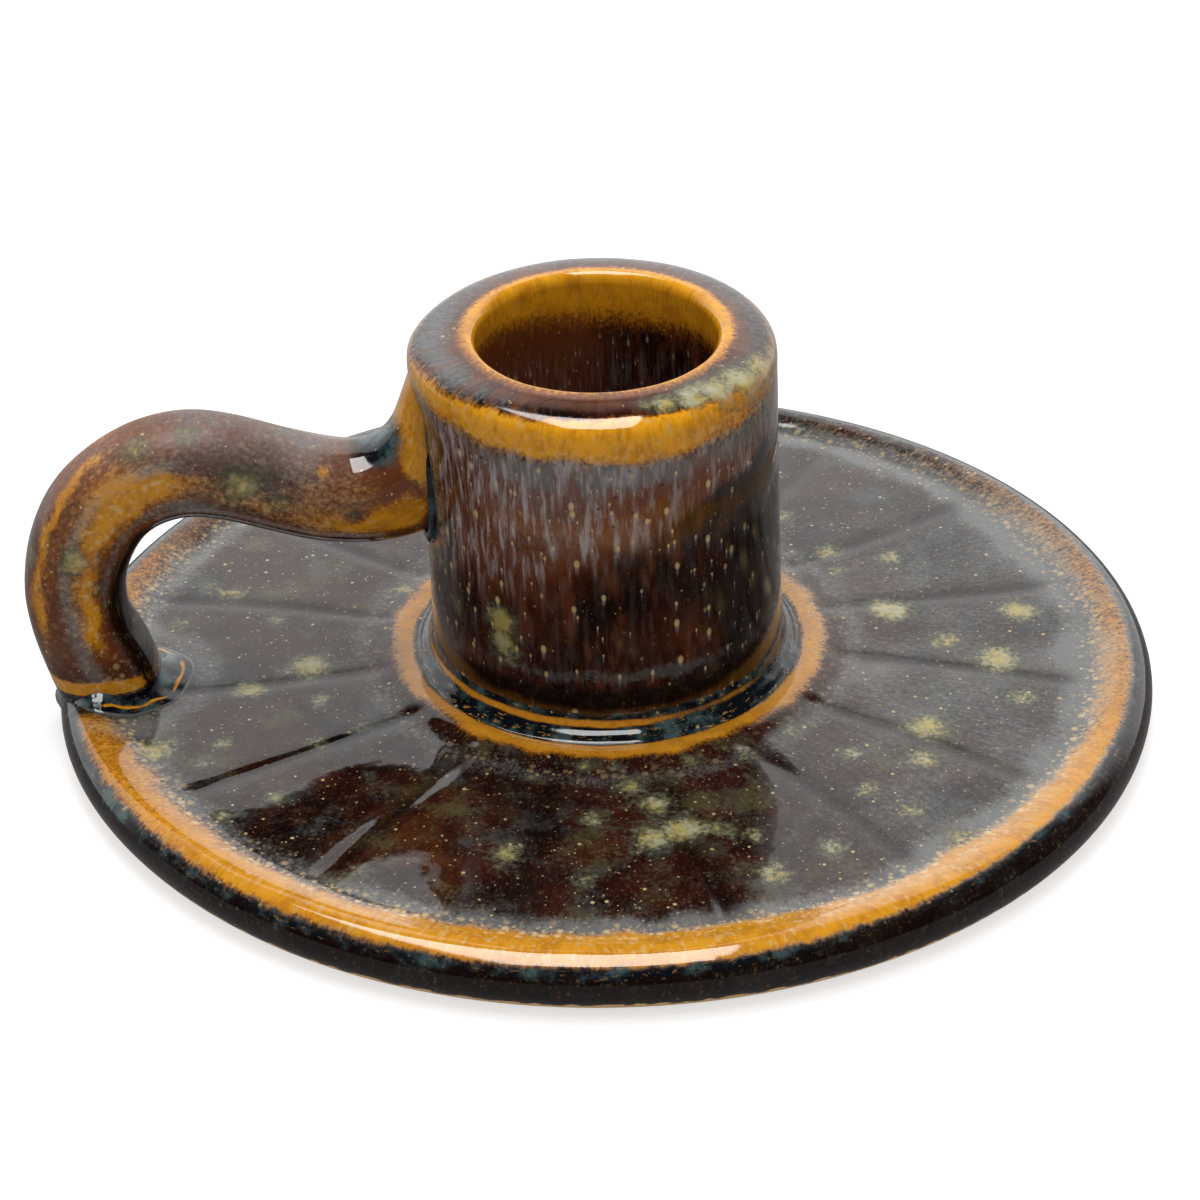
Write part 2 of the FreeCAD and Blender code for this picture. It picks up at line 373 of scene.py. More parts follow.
# %% Blotches on the dish, each with its radius, azimuth in degrees, size and strength
dish_blotches = (
    (30, -179, 2.4, 1.0), (36, -174, 1.9, 0.9), (30, -167, 1.3, 0.7), (47, -164, 2.3, 0.9),
    (41, -162, 1.3, 0.7), (44, -159, 1.3, 0.6), (33, -155, 1.3, 0.6), (46, -148, 1.3, 0.6),
    (41, -147, 1.3, 0.6), (28, -155, 1.2, 0.5), (37, -112, 1.7, 0.8), (31, -100, 1.4, 0.7),
    (26, -93, 1.5, 0.8), (29, -89, 1.9, 0.9), (34, -91, 2.2, 0.9), (33, -86, 2.2, 1.0),
    (34, -80, 1.5, 0.7), (36, -76, 1.3, 0.7), (42, -77, 1.8, 0.8), (40, -101, 1.6, 0.5),
    (28, 27, 1.6, 0.8), (33, 19, 1.6, 0.8), (27, 19, 1.3, 0.7), (29, 1, 2.4, 1.0),
    (42, -2, 2.2, 1.0), (34, -10, 1.8, 0.8), (39, -15, 2.4, 1.0), (35, -36, 2.3, 1.0),
    (42, -24, 1.8, 0.7), (31, -50, 1.5, 0.7), (37, -44, 1.9, 0.8), (36, -56, 1.5, 0.7),
    (41, -55, 1.5, 0.7), (41, -68, 1.6, 0.7), (47, -55, 1.9, 0.7), (43, 157, 1.5, 0.6),
    (40, 158, 1.7, 0.7), (34, 165, 1.5, 0.6), (44, 167, 1.4, 0.6), (23, 148, 1.6, 0.7),
    (22.6, -103, 1.0, 0.6), (22.8, -96, 0.9, 0.5), (23.2, -78, 1.2, 0.6), (24.2, -66, 1.3, 0.6),
    (24.5, -52, 1.3, 0.6), (37, 64, 1.9, 0.7), (30, 44, 1.5, 0.7), (42, 130, 2.0, 0.7),
    (27, 110, 1.7, 0.6), (38, 104, 2.2, 0.8), (44, 88, 2.0, 0.7), (31, 80, 1.8, 0.6),
    (44, -128, 1.3, 0.5), (45, 40, 1.6, 0.6), (34, 128, 1.5, 0.6),
)


def blotches(points, places):
    """Greatest of bells at the given places, each wavy-edged."""
    waver = 1 + 0.25 * ripples(points, 4.0, 21)
    total = np.zeros(points.shape[:-1])
    for place, size, strength in places:
        total = np.maximum(total, strength * bell(0, size, distance(points, place) * waver))
    return total


# %% How much of each glaze lies at each azimuth of the dish, in degrees
# The rim's amber, the pale peach in it, and how far in its outer border lies in millimetres
rim_amber_table = {
    -178: 0.4, -165: 0.42, -150: 0.48, -120: 0.82, -90: 1.0, -60: 0.9, -40: 0.62, -20: 0.39,
    0: 0.30, 15: 0.26, 30: 0.2, 50: 0.05, 120: 0.0, 150: 0.2, 165: 0.4,
}
rim_peach_table = {
    -180: 0.7, -165: 0.6, -140: 0.45, -90: 0.4, -60: 0.6,
    -30: 0.9, 0: 1.0, 30: 0.8, 120: 0.5, 165: 0.9,
}
rim_border_table = {
    -180: 0.2, -150: 0.0, -90: 0.0, -65: 0.5, -45: 1.1, -20: 1.0, 10: 0.8, 60: 1.2, 150: 1.0,
}
# The ring's amber, the pale peach in it, and how far it reaches outwards in millimetres
ring_amber_table = {
    -180: 0.5, -150: 0.55, -125: 0.85, -100: 1.0, -75: 0.9, -55: 0.7,
    -35: 0.55, -20: 0.5, 0: 0.45, 60: 0.3, 120: 0.45,
}
ring_peach_table = {
    -180: 0.9, -150: 0.7, -120: 0.25, -95: 0.1, -70: 0.2, -45: 0.7, -20: 0.9, 20: 0.8, 120: 0.5,
}
ring_reach_table = {
    -180: 1.2, -150: 0.9, -120: 0.8, -100: 0.8, -70: 0.8,
    -50: 1.1, -20: 1.5, 0: 1.5, 60: 1.2, 120: 1.5,
}


# %% Fields of the dish's glaze
def dish_fields(grid, radii, turns, run):
    """Fields of the glaze on the dish.

    Each ring of colour is a band over the radius times a table over the azimuth. Ripples are
    added to the radius first, so that the band's edges wander. Outer is the radius seen from
    the border of the rim's amber.
    """
    x, y, z = np.moveaxis(grid, -1, 0)
    grain = ripples(grid, 5, 11)
    slow = ripples(grid, 14, 13)
    fine = ripples(grid, 2.2, 12)
    azimuth = azimuth_of(turns)
    rim_run = run[np.argmax(radii[:, 0])][0]
    top = (run < rim_run) & (z > 0.5)
    outer = radii + around(turns, rim_border_table)
    foot_gap = np.hypot(x + foot_place, y)
    near_foot = fade(6.0, 8.5, foot_gap + 0.5 * grain)

    rim_share = around(turns, rim_amber_table)
    rim_inner = smoothstep(46.6, 50.0, radii + 0.5 * grain + 0.5 * slow)
    rim_amber = rim_inner * fade(52.2, 53.4, outer + 0.15 * fine) * (1 - near_foot) * rim_share
    ring_radii = radii - around(turns, ring_reach_table) + 0.35 * grain + 0.4 * slow
    ring = smoothstep(19.1, 19.8, radii + 0.15 * grain) * fade(19.3, 21.5, ring_radii)
    amber = np.maximum(rim_amber, ring * around(turns, ring_amber_table)) * top

    less_at_loop = 1 - 0.55 * bell(180, 22, np.abs(azimuth))
    haze = (0.62 + 0.35 * slow) * less_at_loop * bell(46.8, 1.7, radii + 0.6 * grain)
    haze += 0.40 * bell(24.6, 1.4, radii + 0.5 * grain)
    haze += 0.5 * bell(48.6, 1.7, radii + 0.4 * grain) * around(turns, rim_peach_table)
    haze += 0.9 * ring * around(turns, ring_peach_table)
    # Painted reflection: the paler right-hand part and the faint lift on the far side stand in for the glaze
    # mirroring the white surround
    haze += (0.44 + 0.30 * slow) * bell(-15, 60, azimuth) * smoothstep(22, 28, radii)
    haze += 0.03 * smoothstep(10, 60, azimuth)
    haze += 0.6 * bell(9.5, 1.8, foot_gap + 0.8 * grain)
    haze += 0.5 * bell(53.0, 0.5, outer + 0.25 * fine)
    dots = bell(48.2, 1.5, radii + 0.3 * grain) + 0.25 * bell(24.0, 1.4, radii)
    dots *= 0.35 + 0.65 * rim_share
    places = [(at(radius, degrees, floor_height), *rest) for radius, degrees, *rest in dish_blotches]

    span = smoothstep(22, 26, radii) * fade(45, 47.5, radii) * top
    grooves = bell(0, 1.6, groove_distance(x, y) + 0.4 * grain) * span * (0.80 + 0.25 * slow)
    side = smoothstep(0.0, 1.5, run - rim_run) * (radii > 48)
    deep = np.maximum.reduce((grooves, side, smoothstep(52.6, 53.5, outer)))
    border = bell(53.35, 0.55, outer + 0.25 * fine) * (z > 2.0)
    pool = (fade(18.9, 19.5, radii + 0.2 * grain) + 0.9 * near_foot) * top
    pool = np.maximum(pool, (0.62 + 0.25 * slow) * border)
    clay = fade(1.25, 1.55, z + 0.25 * fine + 0.15 * grain) * (radii > 20)
    return glaze_fields(
        turned(51, turns, run), amber=amber, haze=haze * top, cream=blotches(grid, places) * top,
        dots=dots, tick=rim_amber, warm=(0.16 + 0.12 * slow) * top, deep=deep, pool=pool,
        fleck=0.7 * pool, clay=clay,
    )


dish_values = dish_fields(dish_points, dish_radii, dish_turns, dish_run)
dish = make_mesh("glazed_dish", dish_points, dish_values)
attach(dish, "root")
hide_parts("dish")

# %% [markdown]
# ## The candle socket
#
# The socket is a thick tube. Its wall narrows a little towards the top, and
# its lip is rolled over by hand, softly on the outside and more tightly on
# the inside. As on the dish, one profile is turned about the axis. It goes up
# the wall, over the lip, down the bore and back along the seat, so its rows
# close on themselves as a ring. The whole tube leans by half a millimetre.

# %% Sizes of the socket, in millimetres
socket_foot = 17.5
socket_top = 16.9
socket_height = 39.2
bore_radius = 11.5
lip_inner_width = 0.9
lip_inner_round = 1.2
socket_sunk = 0.2
lean = 0.5

# The lip's rounding, its outward fall for each millimetre, its bulge and its drop, by azimuth
lip_round_table = {
    -180: 3.0, -140: 3.4, -92: 3.6, -60: 3.6, -30: 3.4, 0: 3.3, 40: 3.2, 90: 2.8, 150: 2.8,
}
lip_fall_table = {-180: 0.10, -140: 0.18, -92: 0.20, -40: 0.20, 0: 0.16, 60: 0.06, 120: 0.05}
lip_bulge_table = {-180: 1.3, -165: 0.8, -150: 0.15, -120: 0.0, 120: 0.0, 150: 0.3, 166: 1.0}
lip_drop_table = {-180: 0.15, -140: 0.4, -95: 0.5, -60: 0.4, -20: 0.2, 40: 0.0, 90: 0.0, 140: 0.0}
# How far the wall swells outwards towards its top
socket_swell_table = {
    -180: 0.0, -150: 0.1, -120: 0.5, -92: 0.8, -60: 0.7, -30: 0.3, 0: 0.1, 40: 0.2, 60: 0.1, 120: 0.0,
}
# Lumps of crystal on the lip: azimuth in degrees, radius, size and rise in millimetres
lip_lumps = (
    (-66, 15.0, 1.3, 0.21), (-56, 15.6, 1.5, 0.245), (-47, 15.2, 1.2, 0.21),
    (-38, 15.9, 1.5, 0.21), (-26, 15.6, 1.4, 0.175),
)
lump_height = 38.8


# %% The socket's profile and grid
def socket_profile(turns):
    """Radii and heights of the socket's stations, from the seat up, over and down the bore.

    The lip's crest lies close to the bore. From there out, the profile is a quarter of a
    rounded square, share ** 5 + level ** 5 = 1, which stays flat for long and then rolls over.
    A slope is added to it, so that the lip falls a little towards the outside. Adding 0 * turns
    gives a station its own value at every turn.
    """
    shoulder = socket_height - around(turns, lip_round_table)
    climb = np.linspace(0, 1, 76, endpoint=False)[:, None]
    base = floor_height - socket_sunk
    wall_heights = base + (shoulder - base) * climb
    wall_radii = socket_foot + (socket_top - socket_foot) * climb + 0 * turns
    outer = np.radians(np.linspace(0, 90, 56))[:, None]
    crest = bore_radius + lip_inner_width
    outer_radii = crest + (socket_top - crest) * np.abs(np.cos(outer)) ** 0.4 + 0 * turns
    outer_heights = shoulder + (socket_height - shoulder) * np.sin(outer) ** 0.4
    fall = around(turns, lip_fall_table)
    outer_heights = outer_heights - fall * (outer_radii - crest)
    wall_heights = wall_heights - fall * (socket_top - crest) * climb ** 3
    inner = np.radians(np.linspace(96, 180, 24))[:, None]
    inner_radii = bore_radius + lip_inner_width * (1 + np.cos(inner)) + 0 * turns
    inner_heights = socket_height - lip_inner_round * (1 - np.sin(inner)) + 0 * turns
    bore_heights = np.linspace(inner_heights[-1, 0], base, 38)[1:, None] + 0 * turns
    bore_radii = np.full_like(bore_heights, bore_radius)
    radii = np.concatenate((wall_radii, outer_radii, inner_radii, bore_radii))
    heights = np.concatenate((wall_heights, outer_heights, inner_heights, bore_heights))
    return radii, heights


def lean_shift(heights):
    """How far the leaning tube has moved along x at a height: an S-shaped rise to the lean."""
    return -lean * smoothstep(4, 42, heights)


def socket_grid():
    """Points, heights, turns and run of the socket: the profile by 512 turns, bulged and leaned."""
    turns = np.linspace(0, 2 * np.pi, 512, endpoint=False)[None, :]
    radii, heights = socket_profile(turns)
    front = turns.size * 3 // 4
    steps = np.hypot(np.diff(radii[:, front]), np.diff(heights[:, front]))
    run = np.concatenate(([0], np.cumsum(steps)))[:, None]
    climb = smoothstep(14, 36, heights)
    outside = smoothstep(13.0, 16.0, radii)
    full_radii = radii + around(turns, socket_swell_table) * climb * outside
    full_radii = full_radii + around(turns, lip_bulge_table) * smoothstep(31, 36.5, heights) * outside
    full_heights = heights - around(turns, lip_drop_table) * smoothstep(28, 38, heights)
    grid = turned(full_radii, turns, full_heights)
    waves = 0.06 * ripples(grid, 14, 31) + 0.025 * ripples(grid, 5, 32)
    waver = 1 + 0.3 * ripples(grid, 2.5, 33)
    for azimuth, radius, size, rise in lip_lumps:
        waves += rise * bell(0, size, distance(grid, at(radius, azimuth, lump_height)) * waver)
    grid[..., 0] += waves * np.cos(turns) * climb
    grid[..., 1] += waves * np.sin(turns) * climb
    grid[..., 0] += lean_shift(heights)
    return grid, heights, *np.broadcast_arrays(turns, run)


socket_points, socket_heights, socket_turns, socket_run = socket_grid()


# %% [markdown]
# ## What the glaze does on the socket
#
# The glaze ran down the wall while it was molten. It is thin and amber just
# under the lip, hazy below that, and dark and streaked further down, with a
# teal fringe where it gathered above the moat. The hazy part is also painted
# paler as reflection of the white surround, and below it the right side is
# painted darker as shade. The top of the lip is a dark purple-brown between
# two amber edges. One big cream patch sits low on the left, and a lumpy
# grey-green one on the lip at the right.

# %% Places on the socket's wall
def contact_half_width(heights):
    """Half the width of the loop's root on the wall at a height, by lines between levels."""
    levels = (18.6, 19.2, 20.5, 23, 27, 30, 34, 37, 39)
    widths = (0.0, 2.6, 3.7, 3.9, 3.3, 2.6, 1.9, 1.8, 1.6)
    return np.interp(heights, levels, widths)


def on_wall(azimuth, height):
    """Point on the socket's wall at an azimuth in degrees and a height."""
    return at(socket_top, azimuth, height) + np.array([-0.3, 0.0, 0.0])


# Cream on the socket: patches on the wall, then the lumps on the lip, then two patches below them
socket_blotches = (
    (on_wall(-131.5, 15.6), 1.8, 1.2), (on_wall(-131, 13.4), 1.8, 1.1), (on_wall(-129, 11.6), 1.2, 0.6),
    (on_wall(-163, 18.0), 1.6, 0.6), (on_wall(-155, 15.0), 1.3, 0.5), (on_wall(95, 30.0), 2.0, 0.5),
    (at(14.8, -82, 38.6), 1.1, 0.7), (at(15.1, -75, 38.5), 1.6, 0.9), (at(15.4, -65, 38.5), 2.1, 1.0),
    (at(15.8, -54, 38.3), 2.7, 1.0), (at(16.1, -42, 37.9), 2.8, 1.0), (at(16.5, -30, 37.5), 2.7, 0.9),
    (at(16.8, -18, 36.8), 2.4, 0.8), (on_wall(-45, 34.6), 1.9, 0.5), (on_wall(-30, 34.2), 2.0, 0.5),
)

# %% How much of each glaze lies at each azimuth of the socket, in degrees
# The lip's outer amber band, and how softly and how far down that band starts
lip_amber_table = {
    -180: 0.5, -150: 0.75, -120: 0.95, -100: 1.0, -75: 1.0, -60: 0.7,
    -45: 0.55, -30: 0.45, 0: 0.4, 60: 0.6, 120: 0.7, 150: 0.7,
}
soft_start_table = {
    -180: 1.4, -140: 1.4, -122: 0.9, -105: 0.2, -90: 0.0, -60: 0.3, 0: 0.8, 120: 1.0,
}
# The amber of the lip's inner edge, its width in millimetres, and the haze on the lip's top
inner_edge_table = {-180: 0.6, -140: 0.5, -95: 0.45, -60: 0.6, 0: 0.8, 90: 0.9, 150: 0.8}
edge_width_table = {-180: 0.9, -120: 0.8, -95: 0.5, -60: 0.8, 0: 1.1, 90: 0.9}
top_haze_table = {
    -180: 0.9, -150: 0.9, -125: 0.4, -100: 0.0, -70: 0.1, -40: 0.4, 0: 0.5, 90: 0.6, 150: 0.7,
}
# Height at which the pale, streaked upper glaze gives way to dark red-brown, and half the
# height of that change, in millimetres. The pale part is real haze and streaks, and also painted
# reflection of the white surround, whose edge this line follows.
veil_and_sheen_table = {
    -180: 19, -150: 19.5, -127: 20.5, -104: 23, -84: 25.3, -69: 28.6,
    -52: 30, -25: 31, 0: 30, 60: 27, 120: 24, 160: 20,
}
veil_and_sheen_width_table = {-180: 3.4, -120: 3.2, -100: 2.4, -82: 1.2, -60: 0.8, 0: 0.8, 90: 2.5}
# The pale streaks, and the haze and painted reflection in that upper glaze, and the teal fringe above the
# moat
streak_table = {-180: 1.0, -110: 1.0, -85: 0.8, -60: 0.5, -20: 0.5, 60: 0.8, 120: 1.0}
veil_haze_table = {-180: 0.4, -140: 0.50, -115: 0.46, -90: 0.30, -60: 0.12, 0: 0.12, 90: 0.3}
fringe_table = {
    -150: 0.4, -130: 0.4, -115: 0.9, -100: 0.5, -82: 1.2, -60: 0.6, 0: 0.4, 90: 0.6, 150: 0.4,
}


# %% Fields of the socket's glaze
def socket_fields(grid, heights, turns, run):
    """Fields of the glaze on the socket.

    Down is the length of the profile from the lip's crest, above 0 on the outside and below 0
    in the bore. Bands over it, or over the height, are multiplied by tables over the azimuth.
    """
    x, y, _ = np.moveaxis(grid, -1, 0)
    down = run[np.argmax(heights[:, 0])][0] - run
    outside = (down > 0) * 1.0
    inside = 1 - outside
    grain = ripples(grid, 6, 41)
    slow = ripples(grid, 16, 43)
    fine = ripples(grid, 2, 42)

    soft = around(turns, soft_start_table)
    band = smoothstep(2.5 + 0.3 * soft, 3.8 + 1.5 * soft, down + 0.2 * fine + 0.2 * grain)
    band = band * fade(5.6, 9.0, down + 0.45 * grain + 0.3 * slow) * outside
    inner_edge = bell(0, 1, (down + 0.35 + 0.1 * grain) / around(turns, edge_width_table))
    inner_edge = inner_edge * around(turns, inner_edge_table)
    inner_wall = fade(0.8, 7.0, -down + 0.8 * slow) * smoothstep(0.2, 1.0, -down) * inside
    amber = np.maximum.reduce((band * around(turns, lip_amber_table), inner_edge, inner_wall))

    # Painted reflection: above this line the wall is painted paler where it mirrors the white surround, over
    # the real haze and streaks
    veil_and_sheen_line = around(turns, veil_and_sheen_table) + 0.5 * grain
    veil_and_sheen_width = around(turns, veil_and_sheen_width_table)
    veil_and_sheen = smoothstep(veil_and_sheen_line - veil_and_sheen_width, veil_and_sheen_line + veil_and_sheen_width, heights) * outside
    top_haze = bell(2.7, 1.5, down + 0.4 * grain + 0.3 * slow) * around(turns, top_haze_table)
    fringe = bell(11.0, 0.8, heights + 0.45 * grain + 0.3 * fine) * outside * around(turns, fringe_table)
    haze = 0.85 * bell(8.8, 2.0, down + 0.8 * grain) * outside * (0.75 + 0.5 * slow)
    haze += 0.85 * top_haze + 0.75 * fringe
    haze += around(turns, veil_haze_table) * veil_and_sheen * smoothstep(7.5, 10, down) * (0.7 + 0.9 * slow)
    streak = smoothstep(5.5, 7.5, down) * outside * (0.08 + 0.92 * veil_and_sheen) * around(turns, streak_table)
    streak += 0.25 * inside * smoothstep(7, 10, -down)

    # Painted shade: below the pale upper glaze, the right side of the wall is painted blacker and less warm,
    # where it mirrors the dark room
    shaded_right_side = smoothstep(-72, -45, azimuth_of(turns)) * fade(60, 100, azimuth_of(turns))
    right_painted_shade = 0.9 * shaded_right_side * (1 - veil_and_sheen) * outside
    black_low = smoothstep(7.0, 7.6, heights) * fade(9.2, 10.0, heights + 0.2 * grain) * outside
    gap = np.maximum(np.abs(y) - contact_half_width(heights), 0)
    at_loop = (x < 0) * outside * fade(32.5, 34.5, heights)
    crease = bell(0, 0.5, gap) * at_loop
    beside = bell(1.5, 1.2, gap + 0.2 * grain) * at_loop
    dark_stripe = 0.8 * bell(3.9, 0.8, gap + 0.2 * grain) * at_loop
    # Painted shade: the bore turns blacker the deeper it goes
    deep_bore = 0.9 * smoothstep(12, 24, -down) * inside
    clear = (1 - crease) * (1 - black_low)

    cream = blotches(grid, socket_blotches)
    amber = amber * (1 - 0.6 * np.clip(cream, 0, 1))
    amber = np.maximum(amber, 0.45 * beside * fade(19, 22, heights)) * (1 - crease)
    cream = np.maximum(cream, 0.62 * beside * smoothstep(20, 23, heights))
    warm = (0.22 + 0.55 * veil_and_sheen + 0.35 * slow) * outside * smoothstep(7.0, 9.0, down)
    warm += 0.9 * inside * fade(10, 22, -down) + 0.5 * bell(1.4, 1.2, down)
    warm *= 1 - 0.9 * shaded_right_side * (1 - veil_and_sheen)
    drip = outside * smoothstep(7.0, 9.5, down) * clear * (1 - 0.7 * right_painted_shade)
    drip += 0.6 * inside * smoothstep(5, 8, -down)
    return glaze_fields(
        turned(17, turns, run), amber=amber, haze=haze, cream=cream, warm=warm, drip=drip,
        dots=0.4 * bell(6.8, 1.3, down) * outside + 0.3 * beside, tick=0.5 * outside,
        deep=np.maximum.reduce((crease, dark_stripe, black_low, deep_bore, right_painted_shade)),
        streak=streak * clear, pool=0.55 * fringe,
        matt=0.18 * outside * smoothstep(5, 8, down) + 0.5 * top_haze,
    )


socket_values = socket_fields(socket_points, socket_heights, socket_turns, socket_run)
socket = make_mesh("glazed_socket", socket_points, socket_values, rows_close=True)
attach(socket, "root")
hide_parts("candle_socket")

# %% [markdown]
# ## The finger loop
#
# The loop is one pulled strap of clay with a soft, nearly square section. It
# starts as a fin that climbs the socket's wall to the lip, fans round into a
# level arm, rises to a crown, turns down and stands on the rim.
#
# At each station the section is given by an outer and an inner point in the
# loop's middle plane and a width across it. A smooth curve through the
# stations gives as many sections as the mesh needs. A section is a rounded
# square: a circle whose cosine and sine are raised to a power below one.

# %% Stations of the loop, in millimetres from the axis and above the table
fin_stations = (
    ((15.8, 37.9), (12.9, 36.8), 3.6),
    ((17.3, 37.2), (13.0, 36.3), 4.4),
    ((18.2, 36.1), (13.2, 35.6), 4.8),
    ((18.8, 34.7), (13.3, 34.5), 5.0),
    ((19.35, 33.2), (13.3, 33.2), 5.3),
    ((20.0, 31.45), (13.3, 28.8), 6.3),
    ((21.05, 29.9), (13.8, 22.6), 7.7),
    ((22.6, 28.85), (19.0, 19.3), 8.9),
)
arm_stations = (
    ((24.3, 28.55), (24.3, 19.05), 9.5),
    ((29.1, 29.8), (30.6, 20.4), 9.5),
    ((34.0, 31.7), (36.0, 22.4), 9.5),
    ((39.6, 32.9), (40.2, 23.3), 9.5),
    ((45.4, 31.9), (43.0, 22.6), 9.6),
    ((50.9, 28.4), (44.8, 21.0), 9.8),
    ((54.7, 23.4), (46.3, 18.2), 10.0),
    ((56.45, 17.6), (46.9, 14.9), 10.1),
    ((56.45, 12.4), (46.4, 11.6), 10.2),
    ((55.6, 7.9), (45.4, 9.2), 10.3),
    ((54.6, 4.5), (44.5, 5.9), 10.3),
)


# %% A smooth curve through the stations
def smooth_through(knots, values, places):
    """Natural cubic spline through the knots, for each column of values.

    The curve's second slopes come from one linear system that makes neighbouring
    cubics meet with the same slope and bend. Both ends have no bend.
    """
    steps = np.diff(knots)
    count = len(knots)
    system = np.eye(count)
    right = np.zeros_like(values)
    inner = np.arange(1, count - 1)
    system[inner, inner - 1] = steps[:-1]
    system[inner, inner] = 2 * (steps[:-1] + steps[1:])
    system[inner, inner + 1] = steps[1:]
    slopes = np.diff(values, axis=0) / steps[:, None]
    right[1:-1] = 6 * np.diff(slopes, axis=0)
    bends = np.linalg.solve(system, right)
    cell = np.clip(np.searchsorted(knots, places, side="right") - 1, 0, count - 2)
    step = steps[cell][:, None]
    ahead = (places - knots[cell])[:, None]
    behind = step - ahead
    lower, upper = values[cell], values[cell + 1]
    bend_low, bend_high = bends[cell], bends[cell + 1]
    cubic = (bend_low * behind ** 3 + bend_high * ahead ** 3) / (6 * step)
    cubic += (lower / step - bend_low * step / 6) * behind
    cubic += (upper / step - bend_high * step / 6) * ahead
    return cubic


# %% The loop's grid
def loop_grid():
    """Points, run and angles of the loop: 380 rounded-square sections with 150 points each.

    A point is the section's middle, plus half the depth times a cosine to a power in the
    middle plane, plus half the width times a sine to that power across it. Both keep their
    signs, and ripples move the point a little out or in.
    """
    stations = np.array([(*outer, *inner, width) for outer, inner, width in fin_stations + arm_stations])
    middles = (stations[:, 0:2] + stations[:, 2:4]) / 2
    knots = np.concatenate(([0], np.cumsum(np.linalg.norm(np.diff(middles, axis=0), axis=1))))
    places = np.linspace(0, knots[-1], 380)
    smooth = smooth_through(knots, stations, places)
    outer, inner, width = smooth[:, 0:2], smooth[:, 2:4], smooth[:, 4]
    centre = ((outer + inner) / 2)[:, None, :]
    half = ((outer - inner) / 2)[:, None, :]
    angles = np.linspace(0, 2 * np.pi, 150, endpoint=False)[None, :]
    power = 0.78
    out = np.sign(np.cos(angles)) * np.abs(np.cos(angles)) ** power
    side = np.sign(np.sin(angles)) * np.abs(np.sin(angles)) ** power
    plane = centre + half * out[..., None]
    across = side * width[:, None] / 2
    grid = np.stack((-plane[..., 0], across, plane[..., 1]), axis=-1)
    lumps = 0.10 * ripples(grid, 15, 51) + 0.03 * ripples(grid, 6, 52)
    middle = np.stack((-centre[..., 0], 0 * centre[..., 0], centre[..., 1]), axis=-1)
    outward = grid - middle
    outward /= np.linalg.norm(outward, axis=-1, keepdims=True)
    grid += outward * lumps[..., None]
    return grid, *np.broadcast_arrays(places[:, None], angles)


loop_points, loop_run, loop_angles = loop_grid()


# %% [markdown]
# ## What the glaze does on the loop
#
# The soft corners of the section are where the glaze ran thin, so two amber
# ridges follow the loop, one along its inner edge and one along its outer
# edge, with dark glaze on the flats between them. It pooled black in the
# crease against the wall and above the foot.

# %% Fields of the loop's glaze
# Cream patches on the loop: place in millimetres, size and strength
loop_blotches = (
    ((-51.0, -4.7, 21.1), 1.9, 0.95), ((-39.5, -2.6, 32.8), 1.5, 0.5), ((-35.0, -4.7, 27.8), 2.3, 0.85),
    ((-31.5, -4.7, 25.6), 1.6, 0.6), ((-44.6, -3.2, 32.0), 1.9, 0.7), ((-49.6, -4.7, 18.0), 1.3, 0.5),
    ((-55.5, -2.4, 21.0), 1.6, 0.6), ((-24.5, -4.6, 23.5), 1.2, 0.4), ((-50.0, 4.6, 19.5), 1.8, 0.9),
    ((-35.0, 4.4, 27.5), 2.0, 0.8), ((-44.5, 3.6, 31.0), 2.0, 0.6), ((-26.5, 4.6, 25.0), 1.5, 0.6),
)
# Where black glaze pooled at the sweep into the fin, on both sides, and one amber spot
sweep_pools = ((-22.0, -1.5, 29.8), (-22.0, 1.5, 29.8))
amber_spot = (-26.9, -3.9, 28.6)
wall_contact_radius = 17.1


